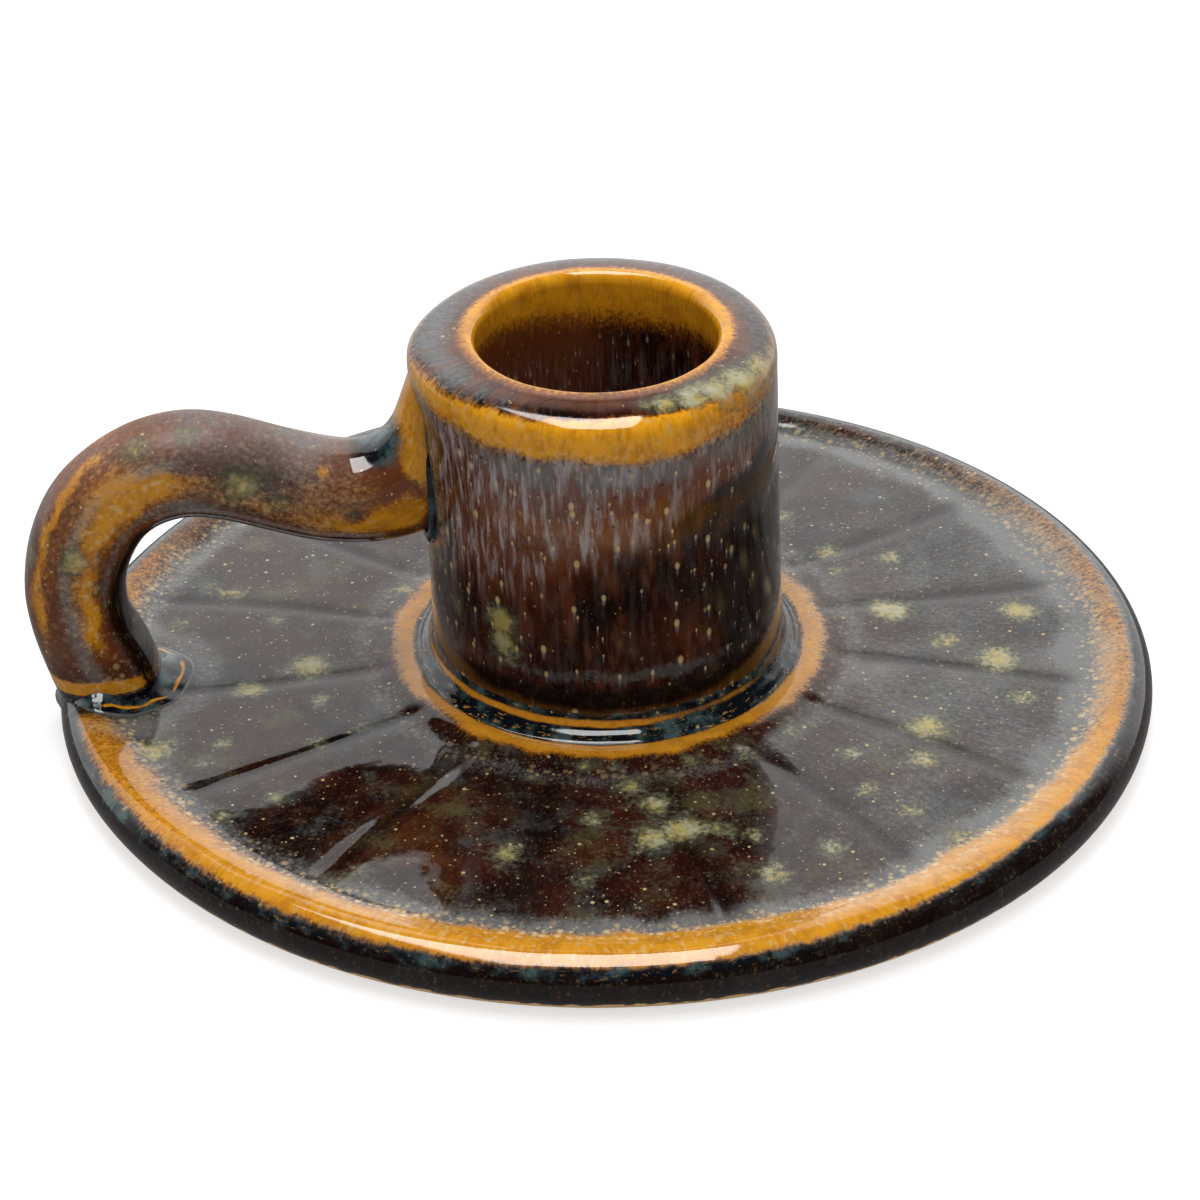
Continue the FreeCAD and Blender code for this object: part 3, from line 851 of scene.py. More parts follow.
def loop_fields(grid, run, angles):
    """Fields of the glaze on the loop, whose two sides differ only in grain, patches and the spot.

    Fold is the angle round the section in degrees, 0 on the loop's outside and 180 inside it.
    A ridge of amber is a bell about a line in fold that drifts along the run.
    """
    x, y, z = np.moveaxis(grid, -1, 0)
    grain = ripples(grid, 5, 61)
    slow = ripples(grid, 13, 63)
    fine = ripples(grid, 2, 62)
    end = run.max()
    on_leg = run > end / 2
    fold = np.degrees(np.minimum(angles, 2 * np.pi - angles))
    inner_line = np.interp(run, (0, 20, 32, 38, 44, 50, 56, end), (100, 102, 92, 82, 87, 95, 104, 104))
    outer_line = np.interp(run, (0, 36, 42, 47, 52, 56, end), (0, 10, 18, 38, 45, 52, 54))

    inner_ridge = bell(0, 13, fold - inner_line + 6 * grain + 2 * fine)
    outer_ridge = bell(0, 13, fold - outer_line + 7 * grain + 2 * fine)
    outer_ridge = outer_ridge * 0.50 * smoothstep(39, 44, run) * fade(55, 61, run)
    bend = smoothstep(34, 39, run) * fade(56, 61, run) * (0.66 + 0.25 * slow)
    arm = smoothstep(12, 15, run) * (0.34 + 0.5 * fade(17, 24, run)) * fade(34, 39, run)
    fin = fade(70, 110, fold + 8 * grain) * fade(11, 14, run + grain)
    foot = 0.95 * smoothstep(5.9, 6.4, z) * fade(7.0, 8.0, z + 0.25 * fine) * on_leg
    tint = (0.26 + 0.35 * slow) * bell(75, 38, fold) * smoothstep(14, 20, run) * fade(52, 58, run)
    amber = np.maximum.reduce((inner_ridge * (bend + arm), outer_ridge, fin, tint, foot))

    crease = bell(0, 0.6, np.maximum(np.hypot(x, y) - wall_contact_radius, 0)) * fade(32, 34.5, z)
    sweeps = [bell(0, 3.4, distance(grid, place)) for place in sweep_pools]
    near_foot = fade(5.6, 6.1, z) * on_leg
    pool = np.maximum.reduce((0.9 * crease, *sweeps, near_foot))
    spot = bell(0, 0.8, distance(grid, amber_spot) + 0.15 * fine)
    # Painted shade: the loop's inner underside is painted black, without haze, amber, warmth or dots, where
    # it is shaded and mirrors the dark
    under = smoothstep(118, 140, fold + 5 * grain) * smoothstep(16, 22, run)
    crown = fade(55, 85, fold) * smoothstep(20, 26, run) * fade(44, 52, run)
    haze = 0.32 * crown * (0.6 + 0.6 * slow)
    haze += 0.55 * bell(24, 9, fold - inner_line) * smoothstep(30, 36, run)
    haze += 0.70 * bell(-16, 9, fold - inner_line) * smoothstep(34, 40, run)
    haze += 0.42 * smoothstep(14, 20, run) * fade(34, 42, run)
    cream = blotches(grid, loop_blotches)
    amber = amber * (1 - 0.75 * np.clip(cream, 0, 1)) * (1 - 0.9 * pool) * (1 - 0.8 * under)
    warm = (0.74 + 0.3 * slow) * (1 - under) * (1 - 0.5 * smoothstep(58, 63, run))
    dots = (0.10 + 0.30 * inner_ridge) * smoothstep(14, 24, run) * (1 - under)
    flow = np.stack((0.5 * run, 5 * np.cos(angles), 5 * np.sin(angles)), axis=-1)
    return glaze_fields(
        flow, amber=np.maximum(amber, spot), haze=haze * (1 - under), cream=cream, dots=dots,
        tick=0.9, warm=warm, deep=np.maximum(under, 0.5 * crease), pool=pool, fleck=0.1, matt=crown,
    )


loop_values = loop_fields(loop_points, loop_run, loop_angles)
loop = make_mesh("glazed_loop", loop_points, loop_values)
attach(loop, "root")
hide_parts("finger_loop")

# %% [markdown]
# ## Slip in the moat
#
# Between the socket's wall and the ring lies a small moat. Slip holds the
# socket there, and the glaze ran down and pooled over it, blue-black and teal
# with gold crystals. The surface is a hollow curve from the wall down to the
# inner side of the ring, closed underneath by two hidden stations.

# %% The moat's pool
# Radii and heights from the wall down, over a small bead and out to the ring, in millimetres
moat_stations = (
    (17.36, 7.3), (17.55, 6.6), (17.70, 6.05), (17.95, 5.58), (18.30, 5.30),
    (18.60, 5.08), (18.85, 4.80), (19.20, 4.60), (19.75, 4.50),
)
# The two hidden stations of its underside
hidden_moat_stations = ((19.6, 4.2), (17.2, 4.2))


def moat_grid():
    """Points, share and turns of the pool: a smooth hollow curve and its underside, turned.

    The share goes from 0 at the wall to 1 at the ring, in 40 rows.
    """
    turns = np.linspace(0, 2 * np.pi, 512, endpoint=False)[None, :]
    share = np.linspace(0, 1, 40)
    stations = np.array(moat_stations)
    smooth = smooth_through(np.linspace(0, 1, len(stations)), stations, share)
    profile = np.concatenate((smooth, hidden_moat_stations))
    grid = turned(profile[:, :1], turns, profile[:, 1:])
    wobble = 0.04 * ripples(grid, 7, 71)
    grid[:len(share), :, 2] += wobble[:len(share)]
    share = np.concatenate((share, (1.0, 0.0)))[:, None]
    return grid, *np.broadcast_arrays(share, turns)


moat_points, moat_share, moat_turns = moat_grid()
moat_grain = ripples(moat_points, 3, 72)
moat_amber_table = {
    -180: 0.5, -130: 0.8, -90: 0.9, -80: 0.5, -68: 0.25, -52: 0.7, -40: 0.2, 0: 0.2, 90: 0.5,
}
moat_line = bell(0.27, 0.10, moat_share + 0.02 * moat_grain) * around(moat_turns, moat_amber_table)
moat_values = glaze_fields(
    turned(18, moat_turns, 3 * moat_share),
    amber=0.9 * moat_line,
    pool=1 - 1.2 * moat_line,
    fleck=0.3 + 0.7 * smoothstep(0.55, 0.75, moat_share) + 0.5 * smoothstep(-0.2, 0.6, moat_grain),
)
moat = make_mesh("moat_pool", moat_points, moat_values, rows_close=True)
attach(moat, "root")
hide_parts("socket_slip")

# %% [markdown]
# ## Slip along the loop's root
#
# Where the loop meets the wall, a thin roll of slip squeezed out all along
# the joint. It is a small tube that follows the joint's outline on the wall:
# up one side, over under the lip, down the other side and round below.

# %% The root's roll
root_bottom = 19.3
root_top = 37.6
root_thickness = 0.60
# Height over which the wall narrows from its foot to its top
narrowing_height = 31.5


def root_grid():
    """Points of a tube along the closed outline of the loop's root on the socket's wall.

    Along the outline the height swings from the bottom to the top and back as a cosine does,
    and the width lies to the side that the sine's sign gives. A circle stands across it.
    """
    share = np.linspace(0, 2 * np.pi, 360, endpoint=False)
    heights = root_bottom + (root_top - root_bottom) * (1 - np.cos(share)) / 2
    ends = np.minimum(np.abs(np.sin(share)) * 5, 1) ** 0.5
    widths = contact_half_width(heights) * np.sign(np.sin(share)) * ends
    wall = socket_foot + (socket_top - socket_foot) * (heights - floor_height) / narrowing_height
    wall = wall - 0.25 * smoothstep(30, 34, heights)
    turns_back = np.arcsin(np.clip(widths / wall, -1, 1))
    outward = np.stack((-np.cos(turns_back), np.sin(turns_back), 0 * turns_back), axis=-1)
    centre = wall[:, None] * outward
    centre[:, 0] += lean_shift(heights)
    centre[:, 2] = heights
    ahead = np.roll(centre, -1, axis=0) - np.roll(centre, 1, axis=0)
    ahead /= np.linalg.norm(ahead, axis=1)[:, None]
    beside = np.cross(ahead, outward)
    angles = np.linspace(0, 2 * np.pi, 20, endpoint=False)[:, None]
    size = root_thickness * (1 - 0.8 * smoothstep(27, 34, heights))
    ring = outward[:, None] * np.cos(angles) + beside[:, None] * np.sin(angles)
    return centre[:, None] + ring * size[:, None, None]


root_points = root_grid()
root_low = fade(31, 34, root_points[..., 2])
root_values = glaze_fields(
    root_points * np.array([1, 1, 0.3]), amber=0.8 * (1 - root_low), haze=0.35,
    deep=0.5 * root_low, pool=0.8 * root_low,
)
root = make_mesh("root_roll", root_points, root_values, rows_close=True)
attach(root, "root")
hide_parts("loop_wall_slip")

# %% [markdown]
# ## Slip under the foot
#
# The loop's foot was pressed down on the rim, and slip came out all round it.
# The cushion is drawn from above as a ring of curves: each goes from inside
# the leg outwards in a hollow curve and ends on the dish, where the pool has
# a thin raised edge with a gold line.

# %% The foot's cushion
leg_reach = 4.2
foot_reach = 6.9
foot_fillet = 1.9
skin_thickness = 0.42
skin_sunk = 0.08
hidden_height = 2.4


def outside_height(x, y):
    """Height of the dish at a point, also over the rim's outer side, where it is a circle."""
    radii = np.hypot(x, y)
    reach = np.clip(radii - crest_radius, 0, rim_round)
    side = rim_top - rim_round + np.sqrt(np.maximum(rim_round ** 2 - reach ** 2, 0))
    return np.where(radii < crest_radius, dish_height(x, y), side)


def cushion_grid():
    """Points, share and headings of the cushion: 40 rings outwards by 200 headings round the foot.

    On the dish's height stand a fillet, a falling power of the share, and a skin with a round
    edge, the root of one minus the share's fourth power. The last ring is hidden in the clay.
    """
    heading = np.linspace(0, 2 * np.pi, 200, endpoint=False)[None, :]
    share = np.concatenate((np.linspace(0, 1, 40), [1.0]))[:, None]
    inward = np.cos(heading)
    reach = foot_reach + 1.2 * smoothstep(0.0, 1.0, inward) - 1.3 * smoothstep(0.1, 0.9, -inward)
    reach = reach + 0.25 * np.sin(3 * heading + 0.6) + 0.15 * np.sin(7 * heading)
    reach = leg_reach + (reach - leg_reach) * share
    x = -foot_place + reach * inward
    y = reach * np.sin(heading)
    fillet = foot_fillet * (1 - share) ** 2.2
    skin = skin_thickness * np.sqrt(np.clip(1 - share ** 4, 0, 1)) - skin_sunk
    z = outside_height(x, y) + fillet + skin
    z[-1] = hidden_height
    return np.stack((x, y, z), axis=-1), *np.broadcast_arrays(share, heading)


cushion_points, cushion_share, cushion_heading = cushion_grid()
cushion_grain = ripples(cushion_points, 3, 81)
gold_line = bell(0.72, 0.06, cushion_share + 0.09 * cushion_grain)
gold_line = gold_line * smoothstep(-0.9, 0.2, np.cos(cushion_heading))
gold_line = gold_line * smoothstep(-0.7, 0.3, cushion_grain)
cushion_values = glaze_fields(
    cushion_points, amber=gold_line, haze=0.8 * bell(1.0, 0.16, cushion_share),
    pool=fade(0.85, 1.0, cushion_share) * (1 - gold_line), fleck=0.15,
)
cushion = make_mesh("foot_cushion", cushion_points, cushion_values)
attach(cushion, "root")
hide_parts("loop_foot_slip")

# %% [markdown]
# ## The glaze as a material
#
# One recipe serves all pieces, because one glaze covers them all. It starts
# from the dark glaze, lays haze, cream and amber over it where the mesh's
# fields say so, then adds pooled glaze, small crystals and bare clay. Before
# a field is used, fine noise is added to it. A smooth change on the mesh then
# becomes the grainy edge that crystals make in the real glaze.

# %% Short ways to add nodes
def add_node(tree, kind, settings=None, **inputs):
    """New node with its settings, and its inputs set to values or linked to sockets."""
    node = tree.nodes.new(kind)
    for label, value in (settings or {}).items():
        setattr(node, label, value)
    for label, value in inputs.items():
        connect(tree, value, node.inputs[label.replace("_", " ")])
    return node


def connect(tree, value, target):
    """Links a socket to an input, or sets the input to a plain value."""
    if isinstance(value, bpy.types.NodeSocket):
        tree.links.new(value, target)
    else:
        target.default_value = value


def calc(tree, operation, first, second=0.0, third=0.0):
    """One step of arithmetic on values or sockets."""
    node = tree.nodes.new("ShaderNodeMath")
    node.operation = operation
    for place, value in enumerate((first, second, third)):
        connect(tree, value, node.inputs[place])
    return node.outputs[0]


def times(tree, *factors):
    """Product of values or sockets."""
    product = factors[0]
    for factor in factors[1:]:
        product = calc(tree, "MULTIPLY", product, factor)
    return product


def plus(tree, first, second):
    """Sum of two values or sockets."""
    return calc(tree, "ADD", first, second)


def scaled(tree, value, factor, shift):
    """A value times a factor plus a shift, each of them a value or a socket."""
    return calc(tree, "MULTIPLY_ADD", value, factor, shift)


def rise_between(tree, value, low, high):
    """0 below low, 1 above high and an S-shaped rise between them."""
    node = add_node(tree, "ShaderNodeMapRange", {"interpolation_type": "SMOOTHSTEP"}, Value=value)
    node.inputs["From Min"].default_value = low
    node.inputs["From Max"].default_value = high
    return node.outputs["Result"]


def fall_between(tree, value, low, high):
    """1 below low, 0 above high and an S-shaped fall between them."""
    return calc(tree, "SUBTRACT", 1.0, rise_between(tree, value, low, high))


def blend(tree, factor, under, over):
    """Mixes two colours: under where the factor is 0, over where it is 1."""
    node = tree.nodes.new("ShaderNodeMix")
    node.data_type = "RGBA"
    connect(tree, factor, node.inputs[0])
    for place, value in ((6, under), (7, over)):
        connect(tree, (*value, 1.0) if isinstance(value, tuple) else value, node.inputs[place])
    return node.outputs[2]


def stretched(tree, vector, factors):
    """Vector multiplied by three factors, so that a texture on it is drawn out."""
    node = add_node(tree, "ShaderNodeVectorMath", {"operation": "MULTIPLY"})
    tree.links.new(vector, node.inputs[0])
    node.inputs[1].default_value = factors
    return node.outputs[0]


def noise(tree, place, scale, detail=3.0, rough=0.6):
    """Noise from 0 to 1 at a place, with a scale in cells for each unit of that place."""
    inputs = {"Vector": place, "Scale": scale, "Detail": detail, "Roughness": rough}
    return add_node(tree, "ShaderNodeTexNoise", None, **inputs).outputs["Fac"]


def centred(tree, value, amount):
    """Noise shifted to lie about 0, and multiplied by an amount."""
    return times(tree, calc(tree, "SUBTRACT", value, 0.5), amount)


def field(tree, label, output="Fac"):
    """A field stored on the mesh, as a value, or as a vector if that output is asked for."""
    return add_node(tree, "ShaderNodeAttribute", {"attribute_name": label}).outputs[output]


def empty_tree(owner):
    """Node tree of a new material or world, emptied."""
    owner.use_nodes = True
    owner.node_tree.nodes.clear()
    return owner.node_tree


# %% [markdown]
# The colours are those of the fired glaze, as linear red, green and blue.

# %% Colours of the glaze
deep_brown = (0.027, 0.0052, 0.0032)
warm_brown = (0.155, 0.043, 0.014)
black_brown = (0.0045, 0.0018, 0.0017)
dusty_brown = (0.066, 0.038, 0.028)
amber_rich = (0.65, 0.283, 0.018)
amber_bright = (0.80, 0.350, 0.012)
amber_dark = (0.38, 0.135, 0.008)
amber_pale = (0.62, 0.39, 0.14)
peach = (0.44, 0.31, 0.20)
# Blue-grey of the glaze's haze, also used for painted reflection of the white surround
haze_blue = (0.150, 0.155, 0.155)
streak_blue = (0.375, 0.335, 0.335)
cream_yellow = (0.42, 0.34, 0.110)
cream_grey = (0.38, 0.36, 0.22)
olive_dust = (0.085, 0.080, 0.035)
blue_dust = (0.050, 0.058, 0.058)
halo_grey = (0.066, 0.070, 0.046)
pool_black = (0.003, 0.005, 0.009)
pool_teal = (0.055, 0.100, 0.105)
gold = (0.50, 0.25, 0.05)
bare_clay = (0.85, 0.52, 0.24)
speck_light = (0.55, 0.42, 0.20)
dot_cream = (0.74, 0.54, 0.27)


# %% [markdown]
# ## Crystals
#
# Small crystals float in the glaze. On flat parts they are round specks. On
# the socket's wall they ran down while they grew, and each has a pale tail
# below it. Both come from one cell pattern: a speck sits at a random point of
# each cell, and a cell's random colour says whether it is there at all.

# %% Specks and drips
def specks(tree, place, cells, size, share):
    """Round dots at random cell centres, in units of the cell's size, in a share of the cells."""
    cell = add_node(tree, "ShaderNodeTexVoronoi", {"feature": "F1"}, Vector=place, Scale=cells)
    chosen = add_node(tree, "ShaderNodeSeparateColor", None, Color=cell.outputs["Color"])
    kept = calc(tree, "LESS_THAN", chosen.outputs["Red"], share)
    own_size = scaled(tree, chosen.outputs["Green"], size * 0.9, size * 0.4)
    sizes_away = calc(tree, "DIVIDE", cell.outputs["Distance"], own_size)
    return times(tree, fall_between(tree, sizes_away, 0.4, 1.1), kept)


def drips(tree, flow, width, length, head, share):
    """Dots with a tail below them: two values, one for the heads and one for the tails.

    The cells are taller than wide, because the flow is divided by the length along the
    fall. In a cell, the head is a small ellipse and the tail a thin wedge under it.
    """
    place = stretched(tree, flow, (1 / width, 1 / width, 1 / length))
    cell = add_node(tree, "ShaderNodeTexVoronoi", {"feature": "F1"}, Vector=place, Scale=1.0)
    offset = add_node(tree, "ShaderNodeVectorMath", {"operation": "SUBTRACT"})
    tree.links.new(place, offset.inputs[0])
    tree.links.new(cell.outputs["Position"], offset.inputs[1])
    parts = add_node(tree, "ShaderNodeSeparateXYZ", None, Vector=offset.outputs[0])
    squares = [calc(tree, "POWER", parts.outputs[axis], 2.0) for axis in "XY"]
    across = times(tree, calc(tree, "SQRT", plus(tree, *squares)), width)
    along = times(tree, parts.outputs["Z"], length)
    chosen = add_node(tree, "ShaderNodeSeparateColor", None, Color=cell.outputs["Color"])
    kept = calc(tree, "LESS_THAN", chosen.outputs["Red"], share)
    own_head = scaled(tree, chosen.outputs["Green"], head * 0.8, head * 0.5)
    squares = [calc(tree, "POWER", part, 2.0) for part in (across, times(tree, along, 0.62))]
    heads_away = calc(tree, "DIVIDE", calc(tree, "SQRT", plus(tree, *squares)), own_head)
    heads = fall_between(tree, heads_away, 0.5, 1.1)
    below = times(tree, along, -1.0)
    started = calc(tree, "GREATER_THAN", below, 0.0)
    thin = fall_between(tree, calc(tree, "DIVIDE", across, own_head), 0.3, 0.85)
    tails = times(tree, fall_between(tree, below, 0.1, length * 0.62), started, thin)
    return times(tree, heads, kept), times(tree, tails, kept)


# %% [markdown]
# ## The layers of the glaze
#
# Each layer is a function that takes the colour so far and gives it back with
# one more colour over it, as a potter dips and brushes one glaze over another.
# All layers share the same few noises, so that their grainy edges agree.

# %% Places, noises and fields that the layers share
def start_glaze(tree):
    """The sockets that all layers share, under short names: places, noises, deep and grainy edges."""
    glaze = SimpleNamespace(tree=tree)
    glaze.place = add_node(tree, "ShaderNodeTexCoord").outputs["Object"]
    glaze.flow = field(tree, "flow", "Vector")
    glaze.deep = field(tree, "deep")
    glaze.broad = noise(tree, glaze.place, 120.0, 2.0, 0.55)
    glaze.medium = noise(tree, glaze.place, 420.0, 4.0)
    glaze.fine = noise(tree, glaze.place, 2600.0, 2.0)
    glaze.feather = noise(tree, stretched(tree, glaze.flow, (1.0, 1.0, 0.30)), 2.4, 3.0, 0.65)
    glaze.edges = plus(tree, centred(tree, glaze.feather, 0.7), centred(tree, glaze.fine, 0.7))
    return glaze


# %% Dark glaze and haze
def dark_layers(glaze, dust, mottle):
    """The dark glaze: black to deep brown, red-brown where warm, grains of dust, soft clouds, and black
    where glaze pooled or shade is painted.
    """
    tree = glaze.tree
    colour = blend(tree, rise_between(tree, glaze.broad, 0.30, 0.62), black_brown, deep_brown)
    warmth = plus(tree, field(tree, "warm"), centred(tree, glaze.medium, 0.6))
    colour = blend(tree, rise_between(tree, warmth, 0.1, 0.9), colour, warm_brown)
    tiny = noise(tree, glaze.place, 4200.0, 1.0, 0.5)
    grains = rise_between(tree, plus(tree, tiny, centred(tree, glaze.medium, 0.5)), 0.50, 0.72)
    colour = blend(tree, times(tree, grains, dust), colour, dusty_brown)
    # Where deep is high the glaze goes black: pooled glaze, and painted shade in the bore, under the loop
    # and on the socket's right side
    colour = blend(tree, times(tree, glaze.deep, 0.85), colour, black_brown)
    if mottle:
        clouds = plus(tree, noise(tree, glaze.place, 190.0), centred(tree, glaze.fine, 0.35))
        clouds = times(tree, rise_between(tree, clouds, 0.47, 0.68), mottle)
        clouds = times(tree, clouds, scaled(tree, glaze.deep, -0.8, 1.0))
        tint = blend(tree, rise_between(tree, glaze.broad, 0.4, 0.6), blue_dust, olive_dust)
        colour = blend(tree, clouds, colour, tint)
    return colour


def hazy_layers(glaze, colour, streaks):
    """Lays haze over the colour, the real haze and painted reflection both, and on the socket's wall warm
    patches and pale runs too.
    """
    tree = glaze.tree
    haze = rise_between(tree, plus(tree, field(tree, "haze"), glaze.edges), 0.15, 0.95)
    glaze.haze = times(tree, haze, scaled(tree, glaze.deep, -0.8, 0.9))
    colour = blend(tree, glaze.haze, colour, haze_blue)
    if streaks:
        patches = noise(tree, stretched(tree, glaze.flow, (1.0, 1.0, 0.30)), 0.42)
        patches = times(tree, rise_between(tree, patches, 0.50, 0.66), scaled(tree, glaze.deep, -1.0, 1.0))
        colour = blend(tree, times(tree, patches, 0.55), colour, warm_brown)
        runs = noise(tree, stretched(tree, glaze.flow, (1.0, 1.0, 0.16)), 1.6)
        runs = times(tree, rise_between(tree, runs, 0.44, 0.68), field(tree, "streak"), streaks)
        colour = blend(tree, runs, colour, streak_blue)
    return colour


# %% Cream, amber and pooled glaze
def cream_layer(glaze, colour, grainy):
    """Lays cream crystals over the colour: grainy patches, yellow to grey, in a dim halo."""
    tree = glaze.tree
    soft_edges = plus(tree, centred(tree, glaze.medium, 0.5), centred(tree, glaze.fine, 0.5))
    granules = noise(tree, glaze.place, 1400.0, 3.0, 0.75)
    edges = plus(tree, times(tree, soft_edges, 0.8), centred(tree, granules, grainy))
    amount = plus(tree, field(tree, "cream"), edges)
    halo = times(tree, rise_between(tree, amount, 0.08, 0.55), 0.8)
    colour = blend(tree, halo, colour, halo_grey)
    cream = blend(tree, rise_between(tree, glaze.medium, 0.42, 0.62), cream_yellow, cream_grey)
    return blend(tree, times(tree, rise_between(tree, amount, 0.38, 1.05), 0.95), colour, cream)


def amber_layer(glaze, colour, amber):
    """Lays amber over the colour: a core with pale ticks in a dark or peach border, and dots."""
    tree = glaze.tree
    amount = plus(tree, field(tree, "amber"), times(tree, glaze.edges, 0.8))
    shade = plus(tree, glaze.medium, centred(tree, glaze.feather, 0.8))
    shade = times(tree, rise_between(tree, shade, 0.38, 0.72), 0.6)
    core = blend(tree, shade, amber, amber_dark)
    ticks = noise(tree, stretched(tree, glaze.flow, (1.0, 1.0, 0.45)), 1.9, 1.0, 0.4)
    ticks = times(tree, rise_between(tree, ticks, 0.57, 0.70), scaled(tree, field(tree, "tick"), 0.6, 0.12))
    core = blend(tree, ticks, core, amber_pale)
    border = blend(tree, glaze.haze, amber_dark, peach)
    over = blend(tree, rise_between(tree, amount, 0.20, 0.65), border, core)
    colour = blend(tree, rise_between(tree, amount, 0.06, 0.50), colour, over)
    millimetres = stretched(tree, glaze.place, (1000.0, 1000.0, 1000.0))
    for cells, size, strength in ((1.05, 0.40, 0.85), (1.9, 0.34, 0.7)):
        dots = specks(tree, millimetres, cells, size, 0.95)
        strewn = times(tree, dots, times(tree, field(tree, "dots"), strength))
        colour = blend(tree, strewn, colour, dot_cream)
    return colour


def pool_layer(glaze, colour):
    """Lays pooled glaze over the colour: black to teal, with flecks of gold."""
    tree = glaze.tree
    amount = plus(tree, field(tree, "pool"), times(tree, glaze.edges, 0.4))
    pool = blend(tree, rise_between(tree, glaze.medium, 0.45, 0.68), pool_black, pool_teal)
    flecks = noise(tree, stretched(tree, glaze.flow, (0.5, 0.5, 2.0)), 2.4)
    flecks = times(tree, rise_between(tree, flecks, 0.60, 0.65), field(tree, "fleck"))
    pool = blend(tree, flecks, pool, gold)
    return blend(tree, rise_between(tree, amount, 0.30, 0.75), colour, pool)


# %% Specks, pits and drips over all
def crystal_layers(glaze, colour, speck_share, streaks):
    """Strews light specks over the colour, and on the socket's wall dark pits and drips too."""
    tree = glaze.tree
    for cells, size, strength in ((800.0, 0.150, 0.90), (1400.0, 0.17, 0.60)):
        small = specks(tree, glaze.place, cells, size, speck_share)
        quiet = times(tree, scaled(tree, glaze.deep, -0.85, 1.0), strength)
        colour = blend(tree, times(tree, small, quiet), colour, speck_light)
    if streaks:
        pits = times(tree, specks(tree, glaze.place, 700.0, 0.17, 0.3), field(tree, "streak"), 0.85)
        colour = blend(tree, pits, colour, deep_brown)
        shown = field(tree, "drip")
        for sizes_and_share in ((1.35, 2.5, 0.27, 0.85), (0.85, 1.8, 0.16, 0.75)):
            heads, tails = drips(tree, glaze.flow, *sizes_and_share)
            colour = blend(tree, times(tree, tails, 0.50, shown), colour, streak_blue)
            colour = blend(tree, times(tree, heads, 0.9, shown), colour, speck_light)
    return colour


# %% The glaze recipe
glaze_rough = 0.035
clay_rougher = 0.75
glaze_ior = 1.52


def make_glaze(
    name, dust, mottle=0.0, streaks=0.0, grainy=1.5, amber=amber_rich, speck_share=0.1, matting=0.34,
):
    """Material of the glaze: its fields, broken by noise, choose between the colours."""
    material = bpy.data.materials.new(name)
    tree = empty_tree(material)
    glaze = start_glaze(tree)
    colour = dark_layers(glaze, dust, mottle)
    colour = hazy_layers(glaze, colour, streaks)
    colour = cream_layer(glaze, colour, grainy)
    colour = amber_layer(glaze, colour, amber)
    colour = pool_layer(glaze, colour)
    colour = crystal_layers(glaze, colour, speck_share, streaks)
    clay = rise_between(tree, field(tree, "clay"), 0.3, 0.7)
    colour = blend(tree, clay, colour, bare_clay)

    rough = scaled(tree, clay, clay_rougher, glaze_rough)
    rough = scaled(tree, field(tree, "matt"), matting, rough)
    height = plus(tree, noise(tree, glaze.place, 260.0, 2.0, 0.55), times(tree, glaze.fine, 0.05))
    bump = add_node(tree, "ShaderNodeBump", None, Height=height, Strength=0.10, Distance=0.0003)
    shader = add_node(tree, "ShaderNodeBsdfPrincipled", None, Base_Color=colour, Roughness=rough)
    shader.inputs["IOR"].default_value = glaze_ior
    tree.links.new(bump.outputs["Normal"], shader.inputs["Normal"])
    output = tree.nodes.new("ShaderNodeOutputMaterial")
    tree.links.new(shader.outputs["BSDF"], output.inputs["Surface"])
    return material


dish_glaze = make_glaze("dish_glaze", dust=0.30, mottle=0.62, speck_share=0.70)
socket_glaze = make_glaze(
    "socket_glaze", dust=0.15, streaks=0.92, grainy=1.2, amber=amber_bright, speck_share=0.12,
)
loop_glaze = make_glaze("loop_glaze", dust=0.28, mottle=0.25, grainy=0.9, speck_share=0.35, matting=0.50)
pool_glaze = make_glaze("pool_glaze", dust=0.3)
dish.data.materials.append(dish_glaze)
socket.data.materials.append(socket_glaze)
loop.data.materials.append(loop_glaze)
for piece in (moat, root, cushion):
    piece.data.materials.append(pool_glaze)
print("materials:", sorted(material.name for material in bpy.data.materials))

# %% [markdown]
# ## Floor, surround and lamp
#
# The photograph was taken on a white sweep, with one big soft box overhead
# and a dark room behind the camera. A glossy glaze shows all three: a grey
# veil on the dish from the white surround, hard-edged white marks from the
# soft box, and black under them from the dark room. The surround is the world
# itself, white behind the object and dark in front of it for glossy rays. The
# lamp is hidden from glossy rays, because the world draws its mirror image.

# %% Floor
floor_half = 3.0
camera_glow = 0.62
near_glow = 0.18
far_glow = 1.08
paint_grey = 0.50
mirrored_grey = 0.05


def glossy_rays(tree, path):
    """1 for a ray that a surface mirrored or let through, and 0 for others."""
    return calc(tree, "MAXIMUM", path.outputs["Is Glossy Ray"], path.outputs["Is Transmission Ray"])


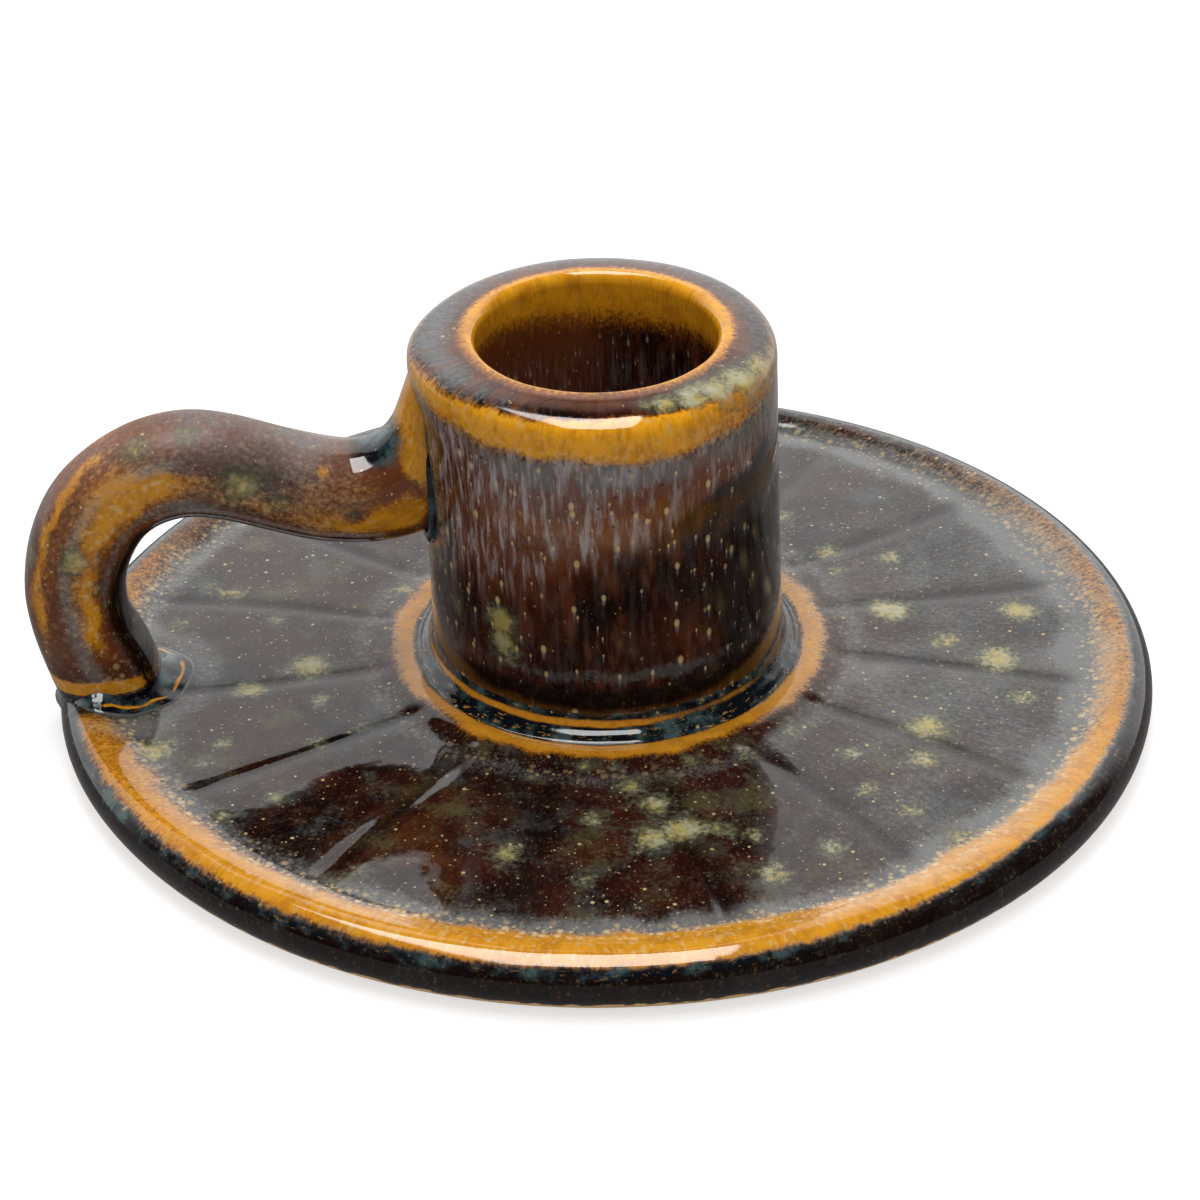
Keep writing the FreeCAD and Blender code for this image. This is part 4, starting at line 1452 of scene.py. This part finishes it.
def make_floor():
    """Large square floor under the object, pale to light and white to the camera.

    It glows for camera rays, so that it looks as white as the photograph's background. For
    glossy rays it glows more behind the object than in front of it, and its paint is darker.
    """
    mesh = bpy.data.meshes.new("floor")
    signs = ((-1, -1), (1, -1), (1, 1), (-1, 1))
    corners = [(floor_half * across, floor_half * along, 0) for across, along in signs]
    mesh.from_pydata(corners, [], [(0, 1, 2, 3)])
    floor = bpy.data.objects.new("floor", mesh)
    scene.collection.objects.link(floor)
    material = bpy.data.materials.new("floor_white")
    tree = empty_tree(material)
    path = tree.nodes.new("ShaderNodeLightPath")
    mirrored = glossy_rays(tree, path)
    object_place = tree.nodes.new("ShaderNodeTexCoord").outputs["Object"]
    place = add_node(tree, "ShaderNodeSeparateXYZ", None, Vector=object_place)
    behind = rise_between(tree, place.outputs["Y"], 0.0, 0.25)
    behind = scaled(tree, behind, far_glow - near_glow, near_glow)
    seen = times(tree, path.outputs["Is Camera Ray"], camera_glow)
    glow = add_node(tree, "ShaderNodeEmission", None, Strength=scaled(tree, mirrored, behind, seen))
    level = scaled(tree, mirrored, mirrored_grey - paint_grey, paint_grey)
    grey = add_node(tree, "ShaderNodeCombineColor", None, Red=level, Green=level, Blue=level)
    paint = add_node(tree, "ShaderNodeBsdfDiffuse", None, Color=grey.outputs[0])
    both = tree.nodes.new("ShaderNodeAddShader")
    tree.links.new(glow.outputs[0], both.inputs[0])
    tree.links.new(paint.outputs[0], both.inputs[1])
    output = tree.nodes.new("ShaderNodeOutputMaterial")
    tree.links.new(both.outputs[0], output.inputs["Surface"])
    mesh.materials.append(material)
    return floor


floor = make_floor()
print("floor:", floor.name)


# %% Surround
sweep_glow = 1.71
room_glow = 0.04
softbox_glow = 12.5
soft_light = 0.62


def make_world():
    """World: white to the camera, soft light for matt surfaces, and a studio for glossy ones.

    For a glossy ray, the heading's x and y are divided by its z. They then are the place
    where the ray meets a flat ceiling, and the soft box is a rectangle on that ceiling.
    """
    world = bpy.data.worlds.new("studio")
    scene.world = world
    tree = empty_tree(world)
    path = tree.nodes.new("ShaderNodeLightPath")
    heading = tree.nodes.new("ShaderNodeTexCoord").outputs["Generated"]
    parts = add_node(tree, "ShaderNodeSeparateXYZ", None, Vector=heading)
    x, y, z = (parts.outputs[axis] for axis in "XYZ")
    white = times(tree, rise_between(tree, y, 0.20, 0.55), fall_between(tree, z, 0.66, 0.77))
    sweep = scaled(tree, white, sweep_glow, room_glow)
    above = calc(tree, "MAXIMUM", z, 0.05)
    ceiling_x = calc(tree, "DIVIDE", x, above)
    ceiling_y = calc(tree, "DIVIDE", y, above)
    right_edge = fall_between(tree, ceiling_x, 0.17, 0.19)
    left_edge = rise_between(tree, ceiling_x, -0.36, -0.26)
    near_edge = rise_between(tree, ceiling_y, -0.37, -0.35)
    far_edge = fall_between(tree, ceiling_y, 0.56, 0.60)
    softbox = times(tree, right_edge, left_edge, near_edge, far_edge)
    studio = scaled(tree, softbox, softbox_glow, sweep)
    glossy = glossy_rays(tree, path)
    strength = scaled(tree, glossy, calc(tree, "SUBTRACT", studio, soft_light), soft_light)
    to_white = calc(tree, "SUBTRACT", 1.0, strength)
    strength = scaled(tree, path.outputs["Is Camera Ray"], to_white, strength)
    background = add_node(tree, "ShaderNodeBackground", None, Strength=strength)
    output = tree.nodes.new("ShaderNodeOutputWorld")
    tree.links.new(background.outputs[0], output.inputs["Surface"])
    return world


surround = make_world()
print("surround:", surround.name)


# %% Lamp
softbox_place = (0.0, 0.14, 0.80)
softbox_width = 0.36
softbox_depth = 0.90
softbox_power = 6.2


def make_softbox(name, target):
    """Rectangular lamp at its place that faces a target, all in metres."""
    data = bpy.data.lights.new(name, "AREA")
    data.shape = "RECTANGLE"
    data.size = softbox_width
    data.size_y = softbox_depth
    data.energy = softbox_power
    lamp = bpy.data.objects.new(name, data)
    scene.collection.objects.link(lamp)
    place = Vector(softbox_place)
    facing = (Vector(target) - place).to_track_quat("-Z", "Y")
    lamp.matrix_world = Matrix.Translation(place) @ facing.to_matrix().to_4x4()
    lamp.visible_glossy = False
    return lamp


lamp = make_softbox("overhead_box", (0, 0, 0))
print("lamp:", lamp.name, softbox_power, "W")

# %% Picture settings
scene.view_settings.view_transform = "Standard"
